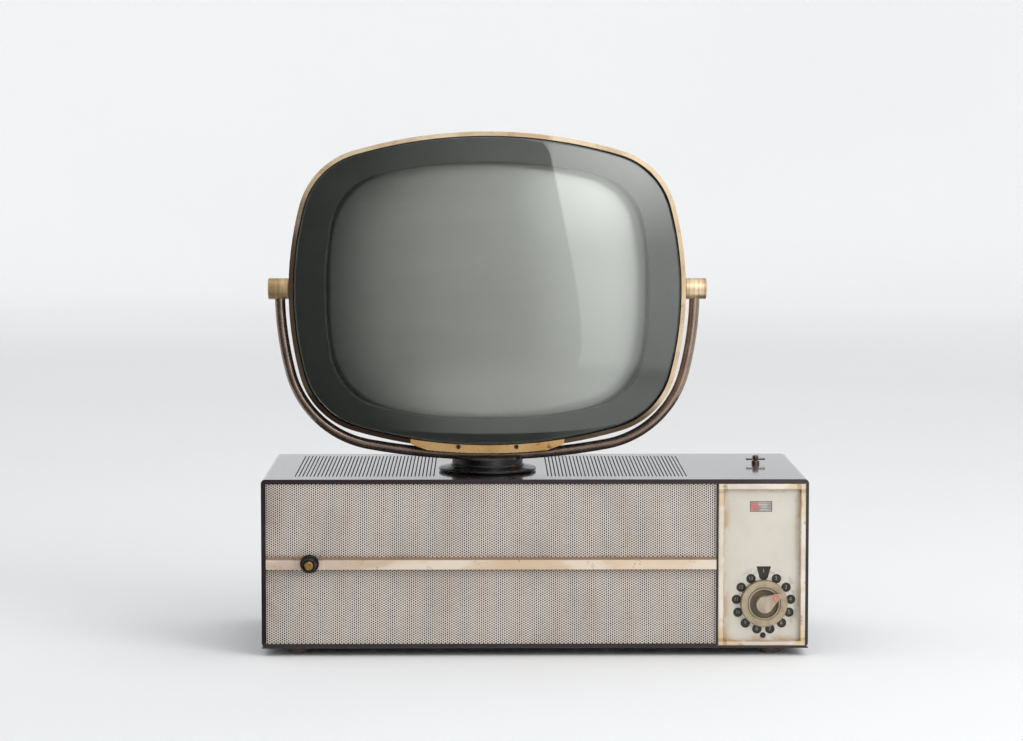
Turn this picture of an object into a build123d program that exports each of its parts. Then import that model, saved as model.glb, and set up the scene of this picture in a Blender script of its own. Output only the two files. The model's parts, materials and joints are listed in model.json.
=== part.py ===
from build123d import *
import math
import os

os.makedirs("parts", exist_ok=True)

# Swivel-screen table television. Millimetres, +Z up, the screen faces -Y.
# The origin is on the floor, under the middle of the set's outer box.
# A "depth" is always counted backwards from the cabinet's front face.

# ---- driving dimensions -------------------------------------------------------------
CAB_W = 622.0            # cabinet width
CAB_D = 273.0            # cabinet depth
CAB_TOP = 202.5          # top of the cabinet above the floor
FOOT_H = 9.0             # height of the feet, and so of the cabinet's underside
SHEET = 1.5              # steel sheet of the cabinet and chassis
RIM = 5.3                # width of the folded rim round the front opening
KNOB_REACH = 25.0        # how far the volume knob stands out in front
HEAD_REACH = 309.5       # depth of the rearmost point of the picture head
FRONT = -(HEAD_REACH - KNOB_REACH) / 2   # Y of the cabinet's front face

PIVOT_X = -54.0          # swivel axis, left of the cabinet's middle
PIVOT_DEPTH = 95.0       # depth of the swivel and tilt axes
TILT_Z = 414.0           # height of the tilt axis
HEAD_Z = 411.9           # height of the middle of the picture head

# Screen-shaped outlines: half width, half height, radii of the top, side and corner arcs.
RING = (229.4, 183.9, 551.6, 382.5, 90.3)
SCREEN_OPENING = (186.5, 148.8, 537.0, 458.0, 70.0)
TUBE_FACE = (194.5, 156.8, 545.0, 466.0, 78.0)
YOKE_LINE = (240.2, 191.3, 765.3, 383.0, 114.9)
NECK_END = (38.0, 38.0, 50.0, 50.0, 32.0)

RING_LIP = 5.0           # visible front lip of the brass ring
RING_WALL = 2.0
RING_FRONT = 80.0        # depth of the ring's front face
RING_BAND = 30.0         # front-to-back width of the ring
WINDOW_FRONT = 56.0      # depth of the foremost point of the domed window
WINDOW_R_ACROSS = 1180.0  # curvature of the window from side to side
WINDOW_R_UP = 765.0      # curvature of the window from top to bottom
WINDOW_T = 3.0
WINDOW_GAP = 1.5         # dark gap between the ring's lip and the window
MASK_GAP = 1.0           # air between the window and the mask behind it
MASK_T = 2.0
LIP_CUT = 50.0           # depth of the block that trims the front of the mask's inner lip
FACE_FRONT = 73.0        # depth of the foremost point of the picture tube
FACE_R = 690.0           # curvature of the picture tube's face
NECK_R = 18.2            # picture tube neck

YOKE_R = 6.0             # outer radius of the bent yoke tube
YOKE_WALL = 1.5
HOUSING_R = 12.25        # brass cylinders at the two ends of the yoke
HOUSING_IN = 230.0       # inner and outer ends of a housing, from the swivel axis
HOUSING_OUT = 253.5
PIN_R = 4.0              # tilt pins
RUN = 0.05               # radial clearance of a running fit
SPINDLE_R = 12.0

GRILLE_RIGHT = 206.0     # right edge of the loudspeaker grille
DIVIDER_RIGHT = 208.4    # black strip between grille and control panel
GRILLE_DEPTH = 1.8
BAFFLE_DEPTH = 12.0
BAFFLE_T = 3.0
PANEL_RIGHT = 307.4      # outer edges of the gold frame round the control panel
PANEL_LOW = 12.2
PANEL_HIGH = 197.2
PANEL_DEPTH = 4.5        # depth of the cream panel's face
PANEL_T = 2.0

DIAL_X = 260.5           # channel selector axis
DIAL_Z = 60.4
CHANNELS = 13
CHANNEL_HOLE_R = 5.5
CHANNEL_RING_R = 31.1    # circle on which the channel windows lie
POINTER_ANGLE = 58.0     # pointer, clockwise from the top
VOLUME_X = -255.8        # volume control axis
VOLUME_Z = 107.2
SHAFT_R = 3.0            # all control shafts
BAR_LOW = 99.6
BAR_HIGH = 111.4

ANTENNA_X = 263.8
ANTENNA_DEPTH = 159.0

CHASSIS_TOP = 61.5
CHASSIS_FRONT = 80.0
CHASSIS_REAR = 258.0
CHASSIS_LEFT = -290.0
CHASSIS_RIGHT = 205.0
COVER_DEPTH = 269.5      # depth of the back cover's inner face
COVER_T = 2.0
REAR_KNOB_Z = 36.0
REAR_KNOBS = {"brightness": 60.0, "contrast": 95.0, "vertical_hold": 130.0, "horizontal_hold": 165.0}
INLET_X = -230.0
INLET_Z = 38.0
SPEAKER_X = -120.0
SPEAKER_Z = 106.0

BACK = (0, 1, 0)
ACROSS = (1, 0, 0)
UP = (0, 0, 1)


# ---- helpers ------------------------------------------------------------------------
def front_plane(depth, x=0.0, z=0.0):
    """Plane that faces the viewer at a depth; its local y is up."""
    return Plane((x, FRONT + depth, z), x_dir=ACROSS, z_dir=(0, -1, 0))


def head_plane(depth):
    """Front plane centred on the picture head."""
    return front_plane(depth, PIVOT_X, HEAD_Z)


def level(z, x=0.0, depth=0.0):
    """Horizontal plane at a height, with its origin at x and a depth; local y is depth."""
    return Plane((x, FRONT + depth, z), x_dir=ACROSS, z_dir=UP)


def inset(size, amount):
    """The parallel outline a distance inside the given one."""
    return tuple(value - amount for value in size)


def between(first, last, share):
    """Outline part of the way from one outline to another."""
    return tuple(a + (b - a) * share for a, b in zip(first, last))


def corner_points(size):
    """Start, middle and end of the corner arc in the first quarter of an outline."""
    half_w, half_h, r_top, r_side, r_corner = size
    top = Vector(0, half_h - r_top)
    side = Vector(half_w - r_side, 0)
    reach_top = r_top - r_corner
    reach_side = r_side - r_corner
    span = side - top
    along = (reach_top**2 - reach_side**2 + span.length**2) / (2 * span.length)
    out = math.sqrt(reach_top**2 - along**2)
    unit = span.normalized()
    centre = top + unit * along + Vector(unit.Y, -unit.X) * out
    start = centre + (centre - top).normalized() * r_corner
    end = centre + (centre - side).normalized() * r_corner
    middle = centre + ((start + end) * 0.5 - centre).normalized() * r_corner
    return start, middle, end


def oval(size):
    """Screen-shaped face: four shallow arcs joined by four tangent corner arcs."""
    half_w, half_h = size[:2]
    start, middle, end = corner_points(size)
    with BuildSketch() as sketch:
        with BuildLine():
            for sign in (1, -1):
                ThreePointArc((sign * end.X, end.Y), (sign * half_w, 0), (sign * end.X, -end.Y))
                ThreePointArc((-start.X, sign * start.Y), (0, sign * half_h), (start.X, sign * start.Y))
                for up in (1, -1):
                    ThreePointArc(*[(sign * p.X, up * p.Y) for p in (start, middle, end)])
        make_face()
    return sketch.sketch


def dome(front, thickness):
    """Doubly curved shell, closed into a ring, whose front touches a depth."""
    reach = 230.0
    near = FRONT + front
    far = near + reach**2 / (2 * WINDOW_R_UP)
    low = HEAD_Z - reach
    high = HEAD_Z + reach
    with BuildPart() as shell:
        with BuildSketch(Plane.YZ.offset(PIVOT_X)):
            with BuildLine():
                ThreePointArc((far, low), (near, HEAD_Z), (far, high))
                Line((far, high), (far + thickness, high))
                ThreePointArc((far + thickness, high), (near + thickness, HEAD_Z), (far + thickness, low))
                Line((far + thickness, low), (far, low))
            make_face()
        revolve(axis=Axis((PIVOT_X, near + WINDOW_R_ACROSS, 0), UP))
    return shell.part


def turned(profile, plane):
    """Solid turned about the plane's local y axis, from (radius, distance) corners."""
    with BuildPart() as solid:
        with BuildSketch(plane):
            with BuildLine():
                Polyline(*profile, close=True)
            make_face()
        revolve(axis=Axis(plane.origin, plane.y_dir))
    return solid.part


def yoke_sweep(radius):
    """Round bar of the given radius along the yoke: down one side, under, and up."""
    half_w, half_h, r_side = YOKE_LINE[0], YOKE_LINE[1], YOKE_LINE[3]
    start, middle, end = corner_points(YOKE_LINE)
    top_y = TILT_Z - 8.0 - HEAD_Z
    top_x = half_w - r_side + math.sqrt(r_side**2 - top_y**2)
    mid_y = (top_y - end.Y) / 2
    mid_x = half_w - r_side + math.sqrt(r_side**2 - mid_y**2)
    with BuildPart() as bar:
        with BuildLine(head_plane(PIVOT_DEPTH)) as path:
            ThreePointArc((-top_x, top_y), (-mid_x, mid_y), (-end.X, -end.Y))
            ThreePointArc((-end.X, -end.Y), (-middle.X, -middle.Y), (-start.X, -start.Y))
            ThreePointArc((-start.X, -start.Y), (0, -half_h), (start.X, -start.Y))
            ThreePointArc((start.X, -start.Y), (middle.X, -middle.Y), (end.X, -end.Y))
            ThreePointArc((end.X, -end.Y), (mid_x, mid_y), (top_x, top_y))
        with BuildSketch(Plane(origin=path.line @ 0, z_dir=path.line % 0)):
            Circle(radius)
        sweep(path=path.line)
    return bar.part


# ---- cabinet ------------------------------------------------------------------------
REAR_RIM = 10.0
REAR_RIM_DEPTH = COVER_DEPTH - SHEET
OPENING_LOW = FOOT_H + RIM
TOP_IN = CAB_TOP - SHEET
HALF_IN = CAB_W / 2 - SHEET
VENT_PITCH = 4.28
VENT_W = 1.3
VENT_L = 218.0
VENT_DEPTH = 139.0
VENT_GROUPS = (-194.7, 94.5)
VENT_COUNT = 38
TOP_CORNER_R = 5.0
BUSH_R = 15.9            # swivel bush, through the cabinet's top
BARREL_R = 3.6           # antenna barrel

with BuildPart() as cabinet_wrap:
    with BuildSketch(front_plane(0)) as skin:
        with Locations((0, CAB_TOP)):
            Rectangle(CAB_W, CAB_TOP - FOOT_H - SHEET, align=(Align.CENTER, Align.MAX))
        fillet(skin.vertices().group_by(Axis.Z)[-1], TOP_CORNER_R)
        with Locations((0, TOP_IN)):
            hollow = (2 * HALF_IN, TOP_IN - FOOT_H - SHEET)
            Rectangle(*hollow, align=(Align.CENTER, Align.MAX), mode=Mode.SUBTRACT)
    extrude(amount=CAB_D, dir=BACK)
    for rim_depth, rim_w in ((0, RIM), (REAR_RIM_DEPTH, REAR_RIM)):
        with BuildSketch(front_plane(rim_depth)) as rim:
            with Locations((0, CAB_TOP)):
                Rectangle(CAB_W, CAB_TOP - OPENING_LOW, align=(Align.CENTER, Align.MAX))
            fillet(rim.vertices().group_by(Axis.Z)[-1], TOP_CORNER_R)
            with Locations((0, CAB_TOP - rim_w)):
                Rectangle(
                    CAB_W - 2 * rim_w,
                    CAB_TOP - rim_w - OPENING_LOW,
                    align=(Align.CENTER, Align.MAX),
                    mode=Mode.SUBTRACT,
                )
        extrude(amount=SHEET, dir=BACK)
    with BuildSketch(level(CAB_TOP)):
        for middle_x in VENT_GROUPS:
            with Locations((middle_x, VENT_DEPTH)):
                with GridLocations(VENT_PITCH, 1, VENT_COUNT, 1):
                    SlotOverall(VENT_L, VENT_W, rotation=90)
        with Locations((PIVOT_X, PIVOT_DEPTH)):
            Circle(BUSH_R)
        with Locations((ANTENNA_X, ANTENNA_DEPTH)):
            Circle(BARREL_R)
    extrude(amount=-2 * SHEET, mode=Mode.SUBTRACT)
cabinet_wrap.part.label = "cabinet_wrap"
export_step(cabinet_wrap.part, "parts/cabinet_wrap.step")

with BuildPart() as cabinet_bottom:
    with BuildSketch(level(FOOT_H, 0, CAB_D / 2)):
        Rectangle(CAB_W, CAB_D)
        with GridLocations(34, 150, 12, 2):
            SlotOverall(60, 5, rotation=90, mode=Mode.SUBTRACT)
    extrude(amount=SHEET)
    with BuildSketch(front_plane(0, 0, FOOT_H)):
        Rectangle(2 * HALF_IN, RIM, align=(Align.CENTER, Align.MIN))
    extrude(amount=SHEET, dir=BACK)
    with BuildSketch(front_plane(REAR_RIM_DEPTH, 0, FOOT_H)):
        Rectangle(CAB_W - 2 * REAR_RIM, REAR_RIM, align=(Align.CENTER, Align.MIN))
    extrude(amount=SHEET, dir=BACK)
cabinet_bottom.part.label = "cabinet_bottom"
export_step(cabinet_bottom.part, "parts/cabinet_bottom.step")

FOOT_X = 271.0
FOOT_DEPTHS = (30.0, 243.0)
FOOT_R = 11.0

with BuildPart() as feet:
    with BuildSketch(level(0, 0, sum(FOOT_DEPTHS) / 2)):
        with GridLocations(2 * FOOT_X, FOOT_DEPTHS[1] - FOOT_DEPTHS[0], 2, 2):
            Circle(FOOT_R)
    extrude(amount=FOOT_H)
    chamfer(feet.edges().group_by(Axis.Z)[0], 1.2)
feet.part.label = "feet"
export_step(feet.part, "parts/feet.step")

with BuildPart() as rear_cover:
    cover_gap = 0.5
    cover_low = FOOT_H + SHEET + cover_gap
    cover_high = TOP_IN - cover_gap
    with BuildSketch(front_plane(COVER_DEPTH)):
        with Locations((0, (cover_low + cover_high) / 2)):
            Rectangle(2 * (HALF_IN - cover_gap), cover_high - cover_low)
        with Locations((-110, 140), (110, 140)):
            with GridLocations(12, 34, 15, 2):
                SlotOverall(26, 4, rotation=90, mode=Mode.SUBTRACT)
        with Locations((0, 78)):
            with GridLocations(12, 1, 33, 1):
                SlotOverall(24, 4, rotation=90, mode=Mode.SUBTRACT)
        with Locations([(x, REAR_KNOB_Z) for x in REAR_KNOBS.values()]):
            Circle(SHAFT_R + 2, mode=Mode.SUBTRACT)
        with Locations((INLET_X, INLET_Z)):
            Rectangle(34.6, 24.6, mode=Mode.SUBTRACT)
    extrude(amount=COVER_T, dir=BACK)
rear_cover.part.label = "rear_cover"
export_step(rear_cover.part, "parts/rear_cover.step")

COVER_SCREWS = [(x, z) for x in (-304.5, 0, 304.5) for z in (16.0, 195.0)]

with BuildPart() as rear_cover_screws:
    for x, z in COVER_SCREWS:
        with BuildSketch(front_plane(COVER_DEPTH + COVER_T, x, z)):
            Circle(3.4)
            Rectangle(5, 0.8, mode=Mode.SUBTRACT)
        extrude(amount=1.4, dir=BACK)
        with BuildSketch(front_plane(COVER_DEPTH + COVER_T, x, z)):
            Circle(3.4)
        extrude(amount=0.6, dir=BACK)
rear_cover_screws.part.label = "rear_cover_screws"
export_step(rear_cover_screws.part, "parts/rear_cover_screws.step")

# ---- front of the cabinet -----------------------------------------------------------
FACE_LOW = 11.5          # grille and baffle reach behind the rim
FACE_HIGH = 200.0
FACE_LEFT = -308.5
BLOCK_LEFT = -272.6      # small block that carries the volume control
BLOCK_RIGHT = -239.4
BLOCK_FRONT = -4.2
BAR_FRONT = -3.0
SHAFT_HOLE_R = 5.0


def front_sheet(depth, thickness, left, right):
    """Flat sheet behind the front rim, pierced for the volume shaft."""
    with BuildPart() as sheet:
        with BuildSketch(front_plane(depth)):
            with Locations(((left + right) / 2, (FACE_LOW + FACE_HIGH) / 2)):
                Rectangle(right - left, FACE_HIGH - FACE_LOW)
            with Locations((VOLUME_X, VOLUME_Z)):
                Circle(SHAFT_HOLE_R, mode=Mode.SUBTRACT)
        extrude(amount=thickness, dir=BACK)
    return sheet.part


with BuildPart() as speaker_grille:
    add(front_sheet(GRILLE_DEPTH, 1.0, FACE_LEFT, GRILLE_RIGHT))
speaker_grille.part.label = "speaker_grille"
export_step(speaker_grille.part, "parts/speaker_grille.step")

with BuildPart() as front_baffle:
    add(front_sheet(BAFFLE_DEPTH, BAFFLE_T, FACE_LEFT, GRILLE_RIGHT))
    with BuildSketch(front_plane(BAFFLE_DEPTH, SPEAKER_X, SPEAKER_Z)):
        Ellipse(70, 46)
    extrude(amount=BAFFLE_T, dir=BACK, mode=Mode.SUBTRACT)
front_baffle.part.label = "front_baffle"
export_step(front_baffle.part, "parts/front_baffle.step")

with BuildPart() as trim_bar:
    bar_left = -CAB_W / 2 + RIM
    for left, right in ((bar_left, BLOCK_LEFT), (BLOCK_RIGHT, GRILLE_RIGHT)):
        with BuildSketch(Plane.YZ.offset(left)):
            with BuildLine():
                Polyline(
                    (FRONT + GRILLE_DEPTH, BAR_LOW - 0.5),
                    (FRONT + BAR_FRONT + 0.6, BAR_LOW),
                    (FRONT + BAR_FRONT, BAR_LOW + 0.6),
                    (FRONT + BAR_FRONT, BAR_HIGH - 0.6),
                    (FRONT + BAR_FRONT + 0.6, BAR_HIGH),
                    (FRONT + GRILLE_DEPTH - 0.8, BAR_HIGH + 2.2),
                    (FRONT + GRILLE_DEPTH, BAR_HIGH + 2.2),
                    close=True,
                )
            make_face()
        extrude(amount=right - left)
trim_bar.part.label = "trim_bar"
export_step(trim_bar.part, "parts/trim_bar.step")

with BuildPart() as bar_escutcheon:
    with BuildSketch(front_plane(BLOCK_FRONT)):
        with Locations(((BLOCK_LEFT + BLOCK_RIGHT) / 2, VOLUME_Z + 0.3)):
            RectangleRounded(BLOCK_RIGHT - BLOCK_LEFT, 15.0, 1.0)
        with Locations((VOLUME_X, VOLUME_Z)):
            Circle(SHAFT_HOLE_R, mode=Mode.SUBTRACT)
    extrude(amount=GRILLE_DEPTH - BLOCK_FRONT, dir=BACK)
    chamfer(bar_escutcheon.faces().sort_by(Axis.Y)[0].outer_wire().edges(), 0.6)
bar_escutcheon.part.label = "bar_escutcheon"
export_step(bar_escutcheon.part, "parts/bar_escutcheon.step")

with BuildPart() as panel_divider:
    with BuildSketch(front_plane(-0.6)):
        with Locations(((GRILLE_RIGHT + DIVIDER_RIGHT) / 2, (PANEL_LOW + PANEL_HIGH) / 2)):
            Rectangle(DIVIDER_RIGHT - GRILLE_RIGHT, PANEL_HIGH - PANEL_LOW - 4)
    extrude(amount=14.0, dir=BACK)
panel_divider.part.label = "panel_divider"
export_step(panel_divider.part, "parts/panel_divider.step")

# ---- control panel ------------------------------------------------------------------
SIGHT_LEFT = 215.1       # edges of the cream panel that can be seen
SIGHT_RIGHT = 301.3
SIGHT_LOW = 17.4
SIGHT_HIGH = 190.2
FRAME_FLANGE = 1.6       # how far the gold frame stands in front of the cabinet
LAMP_X = 257.0           # indicator window
LAMP_Z = 170.8
LAMP_W = 25.4
LAMP_H = 12.3
PANEL_SCREW = (260.0, 23.1)
SLEEVE_R = 5.2           # fine tuning sleeve

with BuildPart() as control_panel_frame:
    frame_right = CAB_W / 2 - RIM - 0.4
    for depth, thickness, right, low, high in (
        (-FRAME_FLANGE, FRAME_FLANGE, PANEL_RIGHT, PANEL_LOW, PANEL_HIGH),
        (0.0, PANEL_DEPTH, frame_right, OPENING_LOW + 0.4, PANEL_HIGH - 0.3),
    ):
        with BuildSketch(front_plane(depth)):
            with Locations(((DIVIDER_RIGHT + right) / 2, (low + high) / 2)):
                Rectangle(right - DIVIDER_RIGHT, high - low)
            with Locations(((SIGHT_LEFT + SIGHT_RIGHT) / 2, (SIGHT_LOW + SIGHT_HIGH) / 2)):
                Rectangle(SIGHT_RIGHT - SIGHT_LEFT, SIGHT_HIGH - SIGHT_LOW, mode=Mode.SUBTRACT)
        extrude(amount=thickness, dir=BACK)
    front_face = control_panel_frame.faces().sort_by(Axis.Y)[0]
    chamfer(front_face.inner_wires()[0].edges(), 1.2)
    front_face = control_panel_frame.faces().sort_by(Axis.Y)[0]
    chamfer(front_face.outer_wire().edges(), 0.7)
control_panel_frame.part.label = "control_panel_frame"
export_step(control_panel_frame.part, "parts/control_panel_frame.step")

with BuildPart() as control_panel:
    panel_left = DIVIDER_RIGHT + 0.4
    panel_right = PANEL_RIGHT - 1.9
    panel_low = OPENING_LOW + 0.6
    panel_high = PANEL_HIGH - 0.6
    with BuildSketch(front_plane(PANEL_DEPTH)):
        with Locations(((panel_left + panel_right) / 2, (panel_low + panel_high) / 2)):
            Rectangle(panel_right - panel_left, panel_high - panel_low)
        with Locations((LAMP_X, LAMP_Z)):
            Rectangle(LAMP_W, LAMP_H, mode=Mode.SUBTRACT)
        with Locations(PANEL_SCREW):
            Circle(1.8, mode=Mode.SUBTRACT)
        with Locations((DIAL_X, DIAL_Z)):
            Circle(9.0, mode=Mode.SUBTRACT)
            for channel in range(1, CHANNELS):
                with PolarLocations(CHANNEL_RING_R, 1, start_angle=90 - channel * 360 / CHANNELS):
                    Circle(CHANNEL_HOLE_R, mode=Mode.SUBTRACT)
        with BuildLine(mode=Mode.PRIVATE) as keystone:
            top_z = DIAL_Z + 41.8
            neck_z = DIAL_Z + 31.0
            Line((DIAL_X - 8.3, top_z), (DIAL_X + 8.3, top_z))
            Line((DIAL_X + 8.3, top_z), (DIAL_X + 5.4, neck_z))
            ThreePointArc((DIAL_X + 5.4, neck_z), (DIAL_X, neck_z - 5.2), (DIAL_X - 5.4, neck_z))
            Line((DIAL_X - 5.4, neck_z), (DIAL_X - 8.3, top_z))
        make_face(keystone.edges(), mode=Mode.SUBTRACT)
    extrude(amount=PANEL_T, dir=BACK)
control_panel.part.label = "control_panel"
export_step(control_panel.part, "parts/control_panel.step")

with BuildPart() as channel_number_plate:
    with BuildSketch(front_plane(PANEL_DEPTH + PANEL_T, DIAL_X, DIAL_Z)):
        Circle(42.0)
        Circle(9.0, mode=Mode.SUBTRACT)
        with Locations((PANEL_SCREW[0] - DIAL_X, PANEL_SCREW[1] - DIAL_Z)):
            Circle(3.0, mode=Mode.SUBTRACT)
    extrude(amount=1.2, dir=BACK)
channel_number_plate.part.label = "channel_number_plate"
export_step(channel_number_plate.part, "parts/channel_number_plate.step")

with BuildPart() as indicator_window:
    with BuildSketch(front_plane(PANEL_DEPTH + 0.6, LAMP_X, LAMP_Z)):
        Rectangle(LAMP_W, LAMP_H)
    extrude(amount=3.0, dir=BACK)
indicator_window.part.label = "indicator_window"
export_step(indicator_window.part, "parts/indicator_window.step")

with BuildPart() as panel_screw:
    add(
        turned(
            [(0, 3.0), (2.2, 3.0), (3.2, 3.8), (3.2, 4.5), (1.8, 4.5), (1.8, 9.0), (0, 9.0)],
            level(PANEL_SCREW[1], PANEL_SCREW[0]),
        )
    )
panel_screw.part.label = "panel_screw"
export_step(panel_screw.part, "parts/panel_screw.step")

# ---- channel selector and fine tuning ------------------------------------------------
TUNER_FRONT = 16.0
TUNER_BACK = 148.0
KNOB_FLOOR = -1.5        # depth of the floor inside the channel knob's cup
POINTER_FRONT = -14.0
POINTER_BACK = -6.2
RING_IN_R = 18.6
RING_OUT_R = 26.6

with BuildPart() as channel_knob:
    add(
        turned(
            [
                (SHAFT_R, 0.8), (18.0, 0.8), (18.0, -5.6), (16.6, -5.6), (16.0, KNOB_FLOOR),
                (9.3, KNOB_FLOOR), (9.3, POINTER_BACK), (SHAFT_R, POINTER_BACK),
            ],
            level(DIAL_Z, DIAL_X),
        )
    )
    with BuildSketch(front_plane(POINTER_BACK, DIAL_X, DIAL_Z)):
        with BuildLine(Plane.XY.rotated((0, 0, 90 - POINTER_ANGLE))):
            tip = 21.0
            tip_half = 1.6
            shoulder = 55.0
            shoulder_x = 9.3 * math.cos(math.radians(shoulder))
            shoulder_y = 9.3 * math.sin(math.radians(shoulder))
            ThreePointArc((shoulder_x, shoulder_y), (-9.3, 0), (shoulder_x, -shoulder_y))
            Line((shoulder_x, -shoulder_y), (tip, -tip_half))
            Line((tip, -tip_half), (tip, tip_half))
            Line((tip, tip_half), (shoulder_x, shoulder_y))
        make_face()
    extrude(amount=POINTER_BACK - POINTER_FRONT)
channel_knob.part.label = "channel_knob"
export_step(channel_knob.part, "parts/channel_knob.step")

with BuildPart() as tuner_shaft:
    with BuildSketch(front_plane(POINTER_BACK, DIAL_X, DIAL_Z)):
        Circle(SHAFT_R)
    extrude(amount=TUNER_BACK + 4 - POINTER_BACK, dir=BACK)
tuner_shaft.part.label = "tuner_shaft"
export_step(tuner_shaft.part, "parts/tuner_shaft.step")

with BuildPart() as fine_tuning_ring:
    bore_r = SHAFT_R + 0.6
    add(
        turned(
            [
                (bore_r, 2.4), (RING_IN_R, 2.4), (RING_IN_R, -4.6), (RING_IN_R + 1.0, -5.0),
                (25.4, -5.0), (RING_OUT_R, -3.6), (RING_OUT_R, 3.9), (SLEEVE_R, 3.9),
                (SLEEVE_R, TUNER_FRONT + 6), (bore_r, TUNER_FRONT + 6),
            ],
            level(DIAL_Z, DIAL_X),
        )
    )
fine_tuning_ring.part.label = "fine_tuning_ring"
export_step(fine_tuning_ring.part, "parts/fine_tuning_ring.step")

with BuildPart() as tuner_box:
    box_w = 74.0
    box_low = 26.0
    box_high = 98.0
    box_mid = (box_low + box_high) / 2
    with BuildSketch(front_plane(TUNER_FRONT)):
        with Locations((DIAL_X, box_mid)):
            Rectangle(box_w, box_high - box_low)
    extrude(amount=TUNER_BACK - TUNER_FRONT, dir=BACK)
    with BuildSketch(front_plane(TUNER_FRONT + SHEET)):
        with Locations((DIAL_X, box_mid)):
            Rectangle(box_w - 2 * SHEET, box_high - box_low - 2 * SHEET)
    extrude(amount=TUNER_BACK - TUNER_FRONT - 2 * SHEET, dir=BACK, mode=Mode.SUBTRACT)
    with BuildSketch(front_plane(TUNER_FRONT, DIAL_X, DIAL_Z)):
        Circle(SLEEVE_R + RUN)
    extrude(amount=SHEET, dir=BACK, mode=Mode.SUBTRACT)
    with BuildSketch(front_plane(TUNER_BACK - SHEET, DIAL_X, DIAL_Z)):
        Circle(SHAFT_R + RUN)
    extrude(amount=SHEET, dir=BACK, mode=Mode.SUBTRACT)
tuner_box.part.label = "tuner_box"
export_step(tuner_box.part, "parts/tuner_box.step")

# ---- volume control -----------------------------------------------------------------
POT_BACK = 30.0
VOLUME_FRONT = -KNOB_REACH
KNOB_BACK = -4.8         # depth of the volume knob's flange
CAP_R = 4.8              # brass cap let into the knob's end
CAP_BACK = VOLUME_FRONT + 4.0

with BuildPart() as volume_pot:
    add(
        turned(
            [
                (SHAFT_R + RUN, BAFFLE_DEPTH), (SHAFT_HOLE_R, BAFFLE_DEPTH),
                (SHAFT_HOLE_R, BAFFLE_DEPTH + BAFFLE_T), (12.0, BAFFLE_DEPTH + BAFFLE_T),
                (12.0, POT_BACK), (SHAFT_R + RUN, POT_BACK),
            ],
            level(VOLUME_Z, VOLUME_X),
        )
    )
volume_pot.part.label = "volume_pot"
export_step(volume_pot.part, "parts/volume_pot.step")

with BuildPart() as volume_shaft:
    with BuildSketch(front_plane(VOLUME_FRONT + 4, VOLUME_X, VOLUME_Z)):
        Circle(SHAFT_R)
    extrude(amount=POT_BACK - VOLUME_FRONT - 6, dir=BACK)
volume_shaft.part.label = "volume_shaft"
export_step(volume_shaft.part, "parts/volume_shaft.step")

with BuildPart() as volume_knob:
    knob_r = 10.75
    add(
        turned(
            [
                (SHAFT_R, KNOB_BACK), (knob_r - 0.4, KNOB_BACK), (knob_r, KNOB_BACK - 0.5),
                (knob_r, KNOB_BACK - 2.6), (9.2, KNOB_BACK - 4.2), (7.9, KNOB_BACK - 6.2),
                (6.9, VOLUME_FRONT + 1.9), (6.2, VOLUME_FRONT + 1.3), (CAP_R, VOLUME_FRONT + 1.3),
                (CAP_R, CAP_BACK), (SHAFT_R, CAP_BACK),
            ],
            level(VOLUME_Z, VOLUME_X),
        )
    )
    with BuildSketch(front_plane(KNOB_BACK - 3.2, VOLUME_X, VOLUME_Z)):
        with PolarLocations(knob_r + 0.25, 30):
            Circle(0.55)
    extrude(amount=3.2, dir=BACK, mode=Mode.SUBTRACT)
volume_knob.part.label = "volume_knob"
export_step(volume_knob.part, "parts/volume_knob.step")

with BuildPart() as volume_knob_cap:
    add(
        turned(
            [
                (0, VOLUME_FRONT), (3.8, VOLUME_FRONT), (CAP_R, VOLUME_FRONT + 0.9), (CAP_R, CAP_BACK),
                (0, CAP_BACK),
            ],
            level(VOLUME_Z, VOLUME_X),
        )
    )
volume_knob_cap.part.label = "volume_knob_cap"
export_step(volume_knob_cap.part, "parts/volume_knob_cap.step")

# ---- loudspeaker --------------------------------------------------------------------
SPEAKER_DEPTH = BAFFLE_DEPTH + BAFFLE_T


def oval_loft(sections, x, z):
    """Loft through ellipses given as (depth, half width, half height)."""
    with BuildPart() as solid:
        for depth, half_w, half_h in sections:
            with BuildSketch(front_plane(depth, x, z)):
                Ellipse(half_w, half_h)
        loft(ruled=True)
    return solid.part


with BuildPart() as speaker_frame:
    with BuildSketch(front_plane(SPEAKER_DEPTH, SPEAKER_X, SPEAKER_Z)):
        Ellipse(79, 54)
        Ellipse(70, 46, mode=Mode.SUBTRACT)
    extrude(amount=2.0, dir=BACK)
    add(oval_loft(((17, 74, 50), (46, 30, 26)), SPEAKER_X, SPEAKER_Z))
    add(oval_loft(((17, 72.5, 48.5), (44.5, 28.5, 24.5)), SPEAKER_X, SPEAKER_Z), mode=Mode.SUBTRACT)
    with BuildSketch(front_plane(46.0, SPEAKER_X, SPEAKER_Z)):
        Circle(13.5)
    extrude(amount=-4.0, dir=BACK, mode=Mode.SUBTRACT)
speaker_frame.part.label = "speaker_frame"
export_step(speaker_frame.part, "parts/speaker_frame.step")

with BuildPart() as speaker_cone:
    add(oval_loft(((15, 69, 45), (39, 13, 13)), SPEAKER_X, SPEAKER_Z))
    add(oval_loft(((15, 68, 44), (38.2, 12, 12)), SPEAKER_X, SPEAKER_Z), mode=Mode.SUBTRACT)
speaker_cone.part.label = "speaker_cone"
export_step(speaker_cone.part, "parts/speaker_cone.step")

with BuildPart() as speaker_magnet:
    with BuildSketch(front_plane(46.0, SPEAKER_X, SPEAKER_Z)):
        Circle(22.0)
    extrude(amount=20.0, dir=BACK)
    chamfer(speaker_magnet.edges().filter_by(GeomType.CIRCLE), 1.5)
speaker_magnet.part.label = "speaker_magnet"
export_step(speaker_magnet.part, "parts/speaker_magnet.step")

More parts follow.
